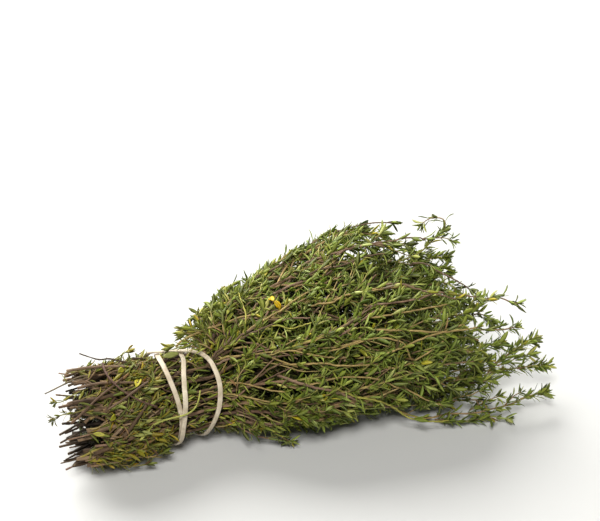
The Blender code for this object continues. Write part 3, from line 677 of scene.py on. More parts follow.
def leafy_path(shape, rng, path, radius, size, young, stale, flow_comb=0.25, start_bare=1.5, gap=(3.2, 5.0), tip=True, colour_from=0.45, colour_shift=0.0, fill=0.94, tufts=0.45, sides=5, lean_lo=0.45, lean_hi=1.05):
    """Leaves in crossed pairs, with tufts between, along a thin stem."""
    s = arc(path)
    length = s[-1]
    t = s / length
    shape.tube(path, radius * (1.0 - 0.45 * t), stem_colours(rng, colour_from + (1.0 - colour_from) * t, colour_shift + rng.normal(0.0, 0.06)), sides)
    ahead, side, up = frames(path)
    a = rng.uniform(0.0, math.pi)
    at = start_bare
    while at < length - 1.4:
        pos, dr = sample(path, s, path, at), unit(sample(path, s, ahead, at))
        sd = unit(sample(path, s, side, at))
        u = np.cross(dr, sd)
        f = at / length
        for flip in (0.0, math.pi):
            o = math.cos(a + flip) * sd + math.sin(a + flip) * u
            if rng.rand() < fill:
                leaf_len = size * rng.uniform(0.78, 1.15) * (1.0 - 0.15 * f)
                put_leaf(shape, rng, pos + o * 0.2, dr, o, rng.uniform(lean_lo, lean_hi) - 0.20 * f, leaf_len, leaf_len * rng.uniform(0.165, 0.235), min(1.0, young + 0.3 * f), stale, dr, flow_comb)
            if rng.rand() < tufts:
                tuft(shape, rng, pos + o * 0.4, dr, o, size * 0.75, min(1.0, young + 0.2), stale, dr, flow_comb)
        a += 0.5 * math.pi + rng.normal(0.0, 0.15)
        at += rng.uniform(*gap) * (1.0 - 0.25 * f)
    if tip:
        rosette(shape, rng, path[-1], ahead[-1], size * 0.92, min(1.0, young + 0.3), stale)


def shoot(shape, rng, start, stem_dir, out, length, young, stale, radius, size, lift=0.10, lean0=0.85, lean1=0.30, droop=0.0, **more):
    """A leafy side shoot. It leaves at an angle, then bends towards the flow of the bunch."""
    steps = max(4, int(length / 3.0))
    p = np.array(start, float)
    pts = [p]
    wander = rng.normal(0.0, 0.16, 3)
    for k in range(steps):
        f = (k + 0.5) / steps
        lean = lean0 + (lean1 - lean0) * f
        d = unit(math.cos(lean) * stem_dir + math.sin(lean) * out + np.array([0.0, 0.0, lift * f - droop * f]) + wander * f + rng.normal(0.0, 0.07, 3))
        p = p + d * length / steps
        if p[2] < 1.4:
            p = np.array([p[0], p[1], 1.4 + 0.3 * rng.rand()])
        pts.append(p)
    path = smooth_path(kept_near(pts, 1.5 * rng.rand() ** 2), 1.3)
    if not clear_of_band(path, 1.7):
        return False
    leafy_path(shape, rng, path, radius, size, young, stale, **more)
    return True


def grow_sprig(i):
    """Everything that one sprig carries."""
    rng = np.random.RandomState(GROW_SEED + i)
    shape = Shape()
    stem = smooth_path(STEMS[i], 1.6)
    stem = stem[stem[:, 0] > stem[0, 0] + max(0.0, rng.uniform(-2.0, 4.5))]
    s = arc(stem)
    length = s[-1]
    t = s / length
    # Slight bends at the nodes, more of them in the free part.
    for gap, size in ((8.5, 0.20), (27.0, 0.75)):
        knots = np.arange(0.0, length + 2.0 * gap, gap)
        free = np.interp(stem[:, 0], [-60.0, -25.0, -15.0, 8.0, 30.0, 150.0], [0.9, 0.5, 0.3, 0.3, 1.0, 1.0])
        jog = np.stack([through(list(zip(knots, rng.normal(0.0, size, len(knots)))), s) for _ in range(3)], axis=1)
        jog[:, 0] = 0.0
        stem = stem + jog * free[:, None]
    stem[:, 2] = np.maximum(stem[:, 2], 1.5)
    ny, nz = PLACES[i]
    outer = min(1.0, math.hypot(ny, nz))
    base_r = rng.uniform(*STEM_RADIUS_CUT)
    woody = base_r > 0.90
    base_r = base_r * 0.86
    radii = 0.30 + (base_r - 0.30) * (1.0 - t) ** 1.2
    sides = 9
    bark = 1.0 + 0.13 * rng.normal(size=(len(stem), sides)) * np.clip(1.25 - 1.6 * t, 0.0, 1.0)[:, None]
    bark = 0.5 * bark + 0.25 * (np.roll(bark, 1, 0) + np.roll(bark, -1, 0))
    flow_all, side_all, up_all = frames(stem)
    colours = stem_colours(rng, t, rng.normal(0.0 if woody else -0.14, 0.08))
    colours = colours * (1.0 + 0.18 * rng.normal(size=(len(stem), 1)))

    nodes = []
    at = rng.uniform(1.5, 7.0)
    angle = rng.uniform(0.0, 2.0 * math.pi)
    while at < length - 2.0:
        left = length - at
        nodes.append((at, angle))
        angle += 0.5 * math.pi + rng.normal(0.0, 0.18)
        step = 6.6
        if left < 40.0:
            step = 2.7 + 3.4 * left / 40.0
        at += step * rng.uniform(0.78, 1.22)
    knot = sum(np.exp(-((s - n) / 0.9) ** 2) for n, _ in nodes)
    radii = radii * (1.0 + (0.22 if woody else 0.14) * np.minimum(knot, 1.0))
    shape.tube(stem, radii[:, None] * bark, colours, sides, cut=rng.uniform(-0.9, 0.9))

    for at, angle in nodes:
        pos = sample(stem, s, stem, at)
        dr = unit(sample(stem, s, flow_all, at))
        sd = unit(sample(stem, s, side_all, at))
        u = np.cross(dr, sd)
        r = float(np.interp(at, s, radii))
        x = pos[0]
        left = length - at
        fan = min(1.0, max(0.0, (x - 4.0) / 22.0))
        bound = -22.0 < x < 8.0
        behind = x <= -22.0
        stale = 0.20 if behind else (0.13 if bound else 0.03)
        young = 0.15 + 0.55 * np.clip(1.0 - left / 60.0, 0.0, 1.0)
        comb = 0.30 if not bound else 1.0
        cy, cz = (0.0, NECK_CENTRE_Z) if x < 6.0 else (6.0, 26.0)
        radial = unit(np.array([0.0, pos[1] - cy, pos[2] - cz]))
        for flip in (0.0, math.pi):
            o = math.cos(angle + flip) * sd + math.sin(angle + flip) * u
            facing = float(o @ radial)
            keep = 0.94 if fan > 0.3 else (0.80 if behind else 0.72)
            if rng.rand() < keep:
                size = rng.uniform(5.0, 8.0) if fan > 0.3 else rng.uniform(4.6, 7.4)
                size *= 1.0 - 0.20 * np.clip(1.0 - left / 22.0, 0.0, 1.0)
                lean = rng.uniform(0.40, 1.05) if fan > 0.3 else rng.uniform(0.30, 1.00)
                if facing > 0.2 and outer > 0.6:
                    lean *= 0.62
                put_leaf(shape, rng, pos + o * r * 0.8, dr, o, lean - 0.15 * np.clip(1.0 - left / 30.0, 0.0, 1.0), size, size * rng.uniform(0.165, 0.225), young, stale, dr, comb)
            # What sits in the axil: a side shoot, a tuft, or nothing.
            roll = rng.rand()
            if x > 1.0:
                chance = 0.52 if left > 24.0 else 0.16
            elif behind:
                chance = 0.22
            else:
                chance = 0.06
            if roll < chance and left > 12.0:
                want = rng.uniform(8.0, 24.0) * (0.6 + 0.4 * min(1.0, left / 70.0))
                if behind:
                    want = rng.uniform(6.0, 13.0)
                want = min(want, 0.8 * left)
                lean0 = rng.uniform(0.50, 1.0)
                if facing > 0.3 and outer > 0.6:
                    want = min(want, rng.uniform(9.0, 17.0))
                    lean0 = min(lean0, 0.55)
                shoot(shape, rng, pos + o * r * 0.6, dr, o, want, young, stale, 0.36, rng.uniform(5.0, 7.2), lean0=lean0, lean1=lean0 * rng.uniform(0.10, 0.45))
            elif roll < chance + (0.36 if fan > 0.3 else 0.42):
                tuft(shape, rng, pos + o * (r + 0.2), dr, o, 5.8, min(1.0, young + 0.1), stale, dr, comb * 0.6)

    # Thin brown twigs that leave the stem in the bound part and run over its neighbours.
    for _ in range(rng.randint(3, 7)):
        at = rng.uniform(0.5, 46.0)
        pos, dr = sample(stem, s, stem, at), unit(sample(stem, s, flow_all, at))
        a = rng.uniform(0.0, 2.0 * math.pi)
        sd = unit(sample(stem, s, side_all, at))
        o = math.cos(a) * sd + math.sin(a) * np.cross(dr, sd)
        reach = rng.uniform(10.0, 26.0)
        lean = rng.uniform(0.18, 0.55)
        pts = [pos]
        for k in range(6):
            d = unit(math.cos(lean) * dr + math.sin(lean) * o + rng.normal(0.0, 0.16, 3))
            pts.append(pts[-1] + d * reach / 6.0)
        pts = held_in(np.array(pts), 1.04)
        pts[:, 2] = np.maximum(pts[:, 2], 1.3)
        path = smooth_path(pts, 1.4)
        if not clear_of_band(path, 1.55):
            path = path[path[:, 0] < -18.5]
            if len(path) < 6 or not clear_of_band(path, 1.55):
                continue
        leafy_path(shape, rng, path, rng.uniform(0.26, 0.52), rng.uniform(4.2, 5.8), 0.1, 0.28, start_bare=rng.uniform(3.0, 9.0), gap=(4.5, 9.0), tip=rng.rand() < 0.5,
                   colour_from=0.10, colour_shift=0.10 if rng.rand() < 0.75 else -0.45, fill=0.7, tufts=0.25, sides=6)
    rosette(shape, rng, stem[-1], flow_all[-1], 6.2, 0.6, 0.01)
    return shape


# ------------------------------------------------------------------ materials
def nodes_of(name):
    mat = bpy.data.materials.new(name)
    mat.use_nodes = True
    tree = mat.node_tree
    return mat, tree, tree.nodes["Principled BSDF"]


def node(tree, kind, **values):
    n = tree.nodes.new(kind)
    for key, value in values.items():
        if hasattr(n, key):
            setattr(n, key, value)
        else:
            n.inputs[key.replace("_", " ")].default_value = value
    return n


def leaf_material():
    mat, tree, bsdf = nodes_of("thyme_leaf")
    link = tree.links.new
    skin = node(tree, "ShaderNodeAttribute", attribute_name="skin")
    grain = node(tree, "ShaderNodeAttribute", attribute_name="grain")
    # Soft blotches over each blade.
    blotch = node(tree, "ShaderNodeTexNoise", Scale=2.3, Detail=3.0, Roughness=0.6)
    link(grain.outputs["Vector"], blotch.inputs["Vector"])
    span = node(tree, "ShaderNodeMapRange")
    span.inputs["From Min"].default_value, span.inputs["From Max"].default_value = 0.3, 0.7
    span.inputs["To Min"].default_value, span.inputs["To Max"].default_value = 0.80, 1.20
    link(blotch.outputs["Fac"], span.inputs["Value"])
    tone = node(tree, "ShaderNodeVectorMath", operation="SCALE")
    link(skin.outputs["Color"], tone.inputs[0])
    link(span.outputs["Result"], tone.inputs["Scale"])
    # The paler line of the midrib.
    split = node(tree, "ShaderNodeSeparateXYZ")
    link(grain.outputs["Vector"], split.inputs["Vector"])
    mid = node(tree, "ShaderNodeMath", operation="ABSOLUTE")
    link(split.outputs["X"], mid.inputs[0])
    rib = node(tree, "ShaderNodeMapRange", interpolation_type="SMOOTHSTEP")
    rib.inputs["From Min"].default_value, rib.inputs["From Max"].default_value = 0.0, 0.17
    rib.inputs["To Min"].default_value, rib.inputs["To Max"].default_value = 0.20, 0.0
    link(mid.outputs["Value"], rib.inputs["Value"])
    pale = node(tree, "ShaderNodeMix", data_type="RGBA")
    link(rib.outputs["Result"], pale.inputs[0])
    link(tone.outputs["Vector"], pale.inputs[6])
    pale.inputs[7].default_value = (0.30, 0.33, 0.10, 1.0)
    link(pale.outputs[2], bsdf.inputs["Base Color"])
    bsdf.inputs["Roughness"].default_value = 0.48
    bsdf.inputs["Specular IOR Level"].default_value = 0.27
    return mat


def stem_material():
    mat, tree, bsdf = nodes_of("thyme_stem")
    link = tree.links.new
    skin = node(tree, "ShaderNodeAttribute", attribute_name="skin")
    grain = node(tree, "ShaderNodeAttribute", attribute_name="grain")
    # Fibres run along the stem.
    stretch = node(tree, "ShaderNodeVectorMath", operation="MULTIPLY")
    stretch.inputs[1].default_value = (2.6, 2.6, 0.20)
    link(grain.outputs["Vector"], stretch.inputs[0])
    fibre = node(tree, "ShaderNodeTexNoise", Scale=1.6, Detail=5.0, Roughness=0.65)
    link(stretch.outputs["Vector"], fibre.inputs["Vector"])
    span = node(tree, "ShaderNodeMapRange")
    span.inputs["From Min"].default_value, span.inputs["From Max"].default_value = 0.32, 0.68
    span.inputs["To Min"].default_value, span.inputs["To Max"].default_value = 0.45, 1.55
    link(fibre.outputs["Fac"], span.inputs["Value"])
    tone = node(tree, "ShaderNodeVectorMath", operation="SCALE")
    link(skin.outputs["Color"], tone.inputs[0])
    link(span.outputs["Result"], tone.inputs["Scale"])
    link(tone.outputs["Vector"], bsdf.inputs["Base Color"])
    bsdf.inputs["Roughness"].default_value = 0.68
    bsdf.inputs["Specular IOR Level"].default_value = 0.22
    return mat


def band_material():
    mat, tree, bsdf = nodes_of("cream_rubber")
    link = tree.links.new
    coord = node(tree, "ShaderNodeTexCoord")
    cloud = node(tree, "ShaderNodeTexNoise", Scale=260.0, Detail=4.0, Roughness=0.6)
    link(coord.outputs["Object"], cloud.inputs["Vector"])
    ramp = node(tree, "ShaderNodeValToRGB")
    ramp.color_ramp.elements[0].position, ramp.color_ramp.elements[0].color = 0.30, (0.47, 0.385, 0.270, 1.0)
    ramp.color_ramp.elements[1].position, ramp.color_ramp.elements[1].color = 0.65, (0.66, 0.575, 0.440, 1.0)
    link(cloud.outputs["Fac"], ramp.inputs["Fac"])
    link(ramp.outputs["Color"], bsdf.inputs["Base Color"])
    bump = node(tree, "ShaderNodeBump", Strength=0.35, Distance=0.0002)
    fine = node(tree, "ShaderNodeTexNoise", Scale=1500.0, Detail=3.0)
    link(coord.outputs["Object"], fine.inputs["Vector"])
    link(fine.outputs["Fac"], bump.inputs["Height"])
    link(bump.outputs["Normal"], bsdf.inputs["Normal"])
    bsdf.inputs["Roughness"].default_value = 0.55
    bsdf.inputs["Specular IOR Level"].default_value = 0.35
    return mat


# ------------------------------------------------------------------ rubber band
def band_mesh(to_row, material):
    """The band as a soft-edged strip whose width and roll vary a little along its length."""
    closed = np.concatenate([BAND_CENTRE[-4:], BAND_CENTRE, BAND_CENTRE[:5]])
    outs = np.concatenate([BAND_OUT[-4:], BAND_OUT, BAND_OUT[:5]])
    n = len(BAND_CENTRE)
    per = 6
    knots = np.arange(len(closed), dtype=float)
    want = 4 + np.arange(n * per) / per
    centre = np.stack([through(list(zip(knots, closed[:, k])), want) for k in range(3)], axis=1)
    out = unit(np.stack([through(list(zip(knots, outs[:, k])), want) for k in range(3)], axis=1))
    ahead = unit(np.roll(centre, -1, 0) - np.roll(centre, 1, 0))
    across = unit(np.cross(ahead, out))
    rise = np.cross(across, ahead)
    count = len(centre)
    rng = np.random.RandomState(5)
    a = np.arange(count) * 2 * math.pi / count
    wide = 1.0 + 0.035 * np.sin(5 * a + 1.0) + 0.03 * np.sin(11 * a + 2.2)
    roll = 0.10 * np.sin(7 * a + 0.4) + 0.07 * np.sin(13 * a + 1.1)
    hw, ht = 0.5 * BAND_WIDTH * 0.98, 0.5 * BAND_THICKNESS
    profile = []
    for k in range(16):
        ang = 2 * math.pi * (k + 0.5) / 16
        c, s = math.cos(ang), math.sin(ang)
        x = math.copysign(abs(c) ** 0.45, c)
        z = math.copysign(abs(s) ** 0.55, s)
        profile.append((x, z * (1.0 - 0.10 * (1.0 - abs(x)))))
    profile = np.array(profile)
    cr, sr = np.cos(roll)[:, None], np.sin(roll)[:, None]
    ax = across * cr + rise * sr
    rz = rise * cr - across * sr
    verts = (centre[:, None, :] + ax[:, None, :] * (profile[None, :, 0] * (hw * wide)[:, None])[..., None]
             + rz[:, None, :] * (profile[None, :, 1] * ht)[..., None])
    sides = len(profile)
    k = np.arange(count)[:, None]
    j = np.arange(sides)[None, :]
    quads = np.stack([k * sides + j, k * sides + (j + 1) % sides, ((k + 1) % count) * sides + (j + 1) % sides, ((k + 1) % count) * sides + j], axis=-1).reshape(-1, 4)
    mesh = bpy.data.meshes.new("band_strip")
    mesh.from_pydata([tuple(v) for v in to_row(verts.reshape(-1, 3))], [], [tuple(int(c) for c in q) for q in quads])
    mesh.update()
    mesh.materials.append(material)
    mesh.shade_smooth()
    ob = bpy.data.objects.new("band_strip", mesh)
    bpy.context.scene.collection.objects.link(ob)
    return ob


# ------------------------------------------------------------------ into the frame
def frame_shift():
    """How far the working frame is from the row's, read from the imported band's box."""
    corners = []
    count = len(BAND_CENTRE)
    for k in range(count):
        ahead = unit(BAND_CENTRE[(k + 1) % count] - BAND_CENTRE[k - 1])
        across = unit(np.cross(ahead, BAND_OUT[k]))
        rise = np.cross(across, ahead)
        for sx, sz in ((-1, -1), (1, -1), (1, 1), (-1, 1)):
            corners.append(BAND_CENTRE[k] + across * sx * 0.5 * BAND_WIDTH + rise * sz * 0.5 * BAND_THICKNESS)
    corners = np.array(corners)
    low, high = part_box("rubber_band")
    a = corners.min(0) - np.array(low) * 1000.0
    b = corners.max(0) - np.array(high) * 1000.0
    assert np.abs(a - b).max() < 0.05, (a, b)
    return 0.5 * (a + b)


SHIFT = frame_shift()


def to_row(points):
    return (np.asarray(points) - SHIFT) * 0.001


LEAF, STEM, RUBBER = leaf_material(), stem_material(), band_material()

# ------------------------------------------------------------------ single twigs and leaves
SHAPES = [grow_sprig(i) for i in range(SPRIG_COUNT)]


def nearest_sprig(p):
    return min(range(SPRIG_COUNT), key=lambda i: float(np.linalg.norm(STEMS[i] - p, axis=1).min()))


def special(points, radius, size=0.0, seed=0, **more):
    """One more shoot along a given way, on the sprig that it is nearest to."""
    rng = np.random.RandomState(9000 + seed)
    path = smooth_path(np.array(points, float), 1.2)
    shape = SHAPES[nearest_sprig(path[0])]
    if size > 0.0:
        leafy_path(shape, rng, path, radius, size, more.pop("young", 0.4), more.pop("stale", 0.02), **more)
    else:
        t = np.linspace(0.0, 1.0, len(path))
        cols = stem_colours(rng, more.get("colour_from", 0.1) + 0.0 * t, 0.0) if "colour" not in more else np.tile(more["colour"], (len(path), 1))
        cols = cols * (1.0 + 0.12 * rng.normal(size=(len(path), 1)))
        radii = radius * (1.0 - 0.35 * t) * (1.0 + more.get("rough", 0.10) * rng.normal(size=len(path)))
        shape.tube(path, radii, cols, 7)
    return path


# The sprig at the back that arches over and hangs its tip, and the leafy tips that reach furthest.
for seed, (way, radius, size, more) in enumerate((
        (((120.0, 25.0, 54.5), (122.2, 26.0, 56.0), (123.6, 27.4, 57.6), (123.6, 29.2, 58.8), (121.6, 31.0, 59.2), (119.4, 32.2, 58.8), (116.6, 32.6, 57.6), (114.4, 32.4, 55.8)), 0.36, 7.2, dict(gap=(3.6, 4.6), tufts=0.10, start_bare=2.6)),
        (((118.0, 24.5, 53.8), (121.5, 23.0, 54.0), (124.5, 20.5, 53.6)), 0.30, 6.4, dict(gap=(3.0, 4.0), tufts=0.0, start_bare=2.0)),
        (((110.1, -13.7, 34.6), (116.3, -10.8, 36.3), (123.0, -8.1, 37.8), (128.1, -6.7, 39.6), (131.5, -6.2, 40.4)), 0.40, 6.6, dict(gap=(2.8, 3.8), tufts=0.6)),
        (((121.1, -8.0, 33.5), (125.1, -7.1, 34.3), (128.3, -8.4, 33.2), (129.8, -11.6, 32.0)), 0.36, 6.8, dict(gap=(2.4, 3.4), tufts=0.6)),
        (((104.0, -19.0, 23.5), (107.9, -18.6, 24.4), (112.6, -18.0, 25.4), (117.8, -18.6, 26.4), (122.8, -19.8, 27.2), (127.3, -21.0, 27.2), (131.0, -20.9, 27.2)), 0.40, 7.6, dict(gap=(2.3, 3.2), tufts=0.7)),
        (((126.7, -23.3, 18.4), (131.0, -23.0, 20.5), (136.0, -22.9, 23.5), (141.0, -23.2, 26.0), (145.0, -23.0, 27.2)), 0.34, 7.8, dict(gap=(2.8, 3.8), tufts=0.4, lean_lo=0.25, lean_hi=0.75)),
        (((128.0, -24.5, 18.2), (133.0, -25.0, 19.5), (138.5, -25.5, 21.5), (143.0, -26.0, 22.0)), 0.32, 7.4, dict(gap=(2.8, 3.8), tufts=0.4, lean_lo=0.25, lean_hi=0.75)),
        (((112.0, -23.3, 12.6), (117.6, -23.6, 12.4), (122.7, -25.0, 12.2), (126.0, -26.6, 11.8)), 0.38, 7.2, dict(gap=(2.6, 3.6), tufts=0.5)),
        (((111.4, -34.9, 6.5), (115.9, -34.8, 8.0), (120.4, -34.7, 9.5), (124.7, -35.3, 11.0)), 0.34, 6.4, dict(gap=(2.8, 3.8), tufts=0.5)),
        (((96.0, -33.4, 4.4), (100.1, -34.8, 4.0), (105.0, -37.0, 3.6), (110.0, -38.3, 3.6), (116.5, -39.0, 4.0)), 0.36, 7.2, dict(gap=(2.4, 3.2), tufts=0.8)),
        (((86.6, -28.1, 7.0), (92.1, -27.9, 8.0), (97.6, -28.9, 9.0), (102.0, -30.4, 9.4)), 0.36, 7.4, dict(gap=(2.2, 3.2), tufts=0.8)),
        (((106.0, 22.5, 43.0), (112.1, 21.6, 44.5), (116.8, 21.0, 46.2), (121.0, 18.9, 46.8)), 0.36, 7.4, dict(gap=(2.4, 3.4), tufts=0.8)),
        (((104.0, 17.0, 40.5), (110.0, 16.3, 42.0), (115.6, 16.7, 43.5), (120.1, 15.3, 44.2)), 0.36, 7.4, dict(gap=(2.4, 3.4), tufts=0.8)),
        (((104.0, 24.0, 38.0), (110.0, 22.0, 40.0), (116.0, 18.5, 41.0), (121.0, 14.5, 40.5)), 0.36, 7.4, dict(gap=(2.4, 3.4), tufts=0.8)),
        (((108.0, 13.0, 38.5), (114.7, 10.8, 40.0), (118.2, 8.3, 40.6), (120.1, 4.1, 40.5)), 0.36, 7.0, dict(gap=(2.4, 3.4), tufts=0.7)),
        (((112.0, 2.0, 36.0), (116.0, 0.5, 37.5), (119.5, -2.0, 38.0), (121.0, -4.0, 37.5)), 0.36, 7.0, dict(gap=(2.4, 3.4), tufts=0.7)),
        (((136.3, -27.2, 16.4), (141.6, -28.6, 17.5), (146.3, -30.4, 18.6)), 0.34, 7.6, dict(gap=(2.6, 3.4), tufts=0.8)),
        (((133.0, -38.9, 10.0), (138.0, -39.7, 11.5), (143.0, -40.4, 12.3)), 0.34, 7.2, dict(gap=(2.6, 3.4), tufts=0.7)))):
    special(way, radius, size, 100 + seed, **more)
# Leafy shoots that swell out behind the band, at the back and on top.
SHOULDER = (
    ((7.5, 10.0, 35.0), (5.0, 12.0, 38.0), (2.5, 14.5, 39.5), (-0.5, 16.5, 39.8)),
    ((8.0, 12.0, 33.5), (6.0, 16.0, 37.0), (3.5, 20.0, 38.5), (1.0, 22.5, 38.8)),
    ((8.5, 13.5, 31.0), (6.5, 18.0, 34.5), (4.5, 22.5, 36.0), (2.5, 26.0, 36.5)),
    ((9.0, 15.0, 28.0), (7.5, 20.0, 31.5), (5.5, 25.0, 33.0), (4.0, 29.0, 33.0)),
    ((9.5, 16.0, 24.0), (8.0, 21.5, 27.0), (6.5, 26.5, 28.0), (5.5, 30.5, 28.0)),
    ((10.0, 14.0, 34.0), (9.0, 19.0, 38.5), (8.5, 24.0, 40.5), (8.0, 28.0, 41.0)),
    ((10.5, 16.5, 31.5), (10.5, 22.5, 36.0), (11.0, 28.0, 38.0), (11.5, 32.0, 38.5)),
    ((11.0, 18.0, 28.0), (12.0, 25.0, 32.0), (13.5, 31.0, 34.0), (15.0, 35.5, 34.5)),
    ((9.5, 7.0, 38.0), (7.0, 9.0, 41.0), (4.5, 12.0, 42.5), (2.5, 15.0, 42.8)),
    ((11.0, 2.0, 39.5), (9.0, 4.5, 42.5), (7.0, 8.0, 44.0), (5.5, 11.5, 44.5)),
    ((12.0, 14.0, 37.0), (13.0, 20.0, 41.5), (15.0, 26.0, 43.5), (17.5, 31.0, 44.0)),
    ((13.0, 9.0, 40.0), (12.5, 13.0, 43.5), (13.0, 18.0, 45.5), (14.5, 23.0, 46.5)),
    ((14.0, 19.0, 33.0), (16.5, 26.0, 37.5), (20.0, 32.5, 39.5), (24.0, 38.0, 40.0)),
    ((12.5, 16.0, 20.0), (12.0, 22.5, 22.5), (12.5, 28.0, 23.0), (13.5, 33.0, 22.5)),
    ((15.0, 2.0, 41.5), (14.0, 4.0, 45.0), (14.5, 7.5, 47.5), (16.0, 12.0, 48.5)),
)
for k, way in enumerate(SHOULDER):
    way = kept_near(np.array(way), 1.5)
    special(way, 0.38, 6.2, 20 + k, gap=(2.6, 4.0), tufts=0.55, start_bare=1.2, young=0.25, stale=0.08, colour_from=0.35, lean_lo=0.35, lean_hi=0.95)
# Thin twigs that stand out at the cut ends, and some that lie across the bound stems.
for seed, (way, radius, size, colour) in enumerate((
        (((-28.0, 5.0, 40.0), (-31.5, 6.0, 41.2), (-35.1, 7.6, 42.0), (-39.0, 7.7, 42.5), (-41.9, 9.4, 43.0), (-44.0, 10.8, 43.5), (-46.1, 12.3, 44.0)), 0.42, 0.0, (0.075, 0.052, 0.034)),
        (((-44.0, 3.0, 39.5), (-50.4, 1.6, 41.0), (-54.3, -0.3, 41.5), (-58.2, -2.1, 42.0), (-62.0, -3.4, 42.0), (-65.6, -4.1, 41.5)), 0.42, 0.0, (0.13, 0.10, 0.06)),
        (((-47.0, -2.0, 37.0), (-51.2, -3.7, 38.0), (-55.9, -5.3, 38.0), (-59.6, -6.1, 37.0), (-62.0, -5.0, 36.5)), 0.34, 4.4, None),
        (((-50.0, -10.5, 34.5), (-54.4, -10.8, 34.0), (-58.6, -10.6, 34.0), (-61.8, -9.6, 33.0), (-64.5, -10.0, 32.0)), 0.34, 4.4, None),
        (((-36.0, 6.4, 40.5), (-32.2, 7.2, 41.5), (-28.7, 7.5, 43.0), (-26.2, 7.8, 44.5)), 0.34, 4.6, None),
        (((-38.2, 6.0, 41.5), (-39.1, -2.2, 43.3), (-37.7, -8.6, 42.6), (-33.7, -13.8, 40.3), (-28.6, -16.8, 37.2), (-22.8, -18.3, 34.0)), 0.55, 0.0, (0.105, 0.058, 0.040)),
        (((-23.4, -9.2, 40.3), (-29.2, -12.8, 40.9), (-35.9, -15.4, 39.6), (-43.1, -17.0, 37.4)), 0.50, 0.0, (0.125, 0.080, 0.050)),
        (((-58.5, -15.8, 33.0), (-52.9, -14.7, 36.6), (-45.8, -11.6, 39.6), (-39.0, -8.8, 41.3), (-33.0, -5.0, 41.6)), 0.55, 0.0, (0.110, 0.066, 0.038)),
        (((-53.0, 8.0, 40.0), (-46.0, 6.0, 41.4), (-36.0, 4.0, 41.0), (-26.0, 2.0, 39.6)), 0.66, 0.0, (0.20, 0.135, 0.085)),
        (((-52.0, -4.0, 40.5), (-44.0, -5.0, 41.5), (-34.0, -6.5, 40.5), (-25.0, -7.5, 38.6)), 0.60, 0.0, (0.14, 0.09, 0.055)),
        (((-31.5, -22.8, 22.0), (-27.5, -21.0, 24.2), (-24.5, -20.3, 26.5), (-20.9, -20.6, 27.8), (-17.6, -20.8, 28.2), (-13.7, -20.9, 28.2), (-10.1, -20.5, 28.4), (-6.9, -19.3, 29.2), (-4.7, -17.6, 31.4), (-3.2, -15.4, 34.5)), 0.48, 0.0, (0.36, 0.37, 0.085)),
        (((-52.4, -21.9, 13.0), (-47.1, -21.8, 12.5), (-41.0, -21.8, 12.0), (-35.8, -21.2, 12.0), (-29.7, -20.2, 12.5), (-24.1, -19.4, 13.0), (-20.4, -18.8, 14.5)), 0.50, 4.8, None),
        (((-57.0, -19.0, 16.0), (-50.0, -20.5, 20.0), (-42.0, -20.8, 22.0), (-33.0, -19.9, 22.5), (-24.0, -18.6, 22.0)), 0.46, 0.0, (0.33, 0.27, 0.060)),
        (((-38.5, -22.6, 26.0), (-36.8, -22.0, 27.2), (-33.6, -20.2, 29.0), (-30.9, -18.5, 31.0), (-28.4, -17.4, 33.0), (-26.3, -16.0, 34.5)), 0.85, 0.0, (0.100, 0.062, 0.034)))):
    if size:
        special(way, radius, size, 40 + seed, gap=(2.8, 4.4), tufts=0.25, stale=0.20, young=0.3, colour_from=0.9, start_bare=2.5)
    else:
        special(way, radius, 0.0, 40 + seed, colour=colour, rough=0.22 if radius > 0.8 else 0.10)
# Leafy bits that lie over the band on top.
special(((4.7, 0.3, 40.0), (2.2, 2.0, 41.7), (-0.8, 3.5, 42.7), (-4.1, 5.0, 43.0), (-7.3, 5.8, 42.7), (-10.0, 5.9, 42.2)), 0.34, 5.6, 90, gap=(2.6, 3.8), tufts=0.5, stale=0.08, start_bare=2.0)
special(((7.1, -0.3, 41.5), (4.3, 1.5, 43.3), (0.8, 2.9, 44.3), (-2.3, 4.2, 44.6)), 0.34, 5.8, 91, gap=(2.6, 3.8), tufts=0.4, stale=0.08, start_bare=2.0)

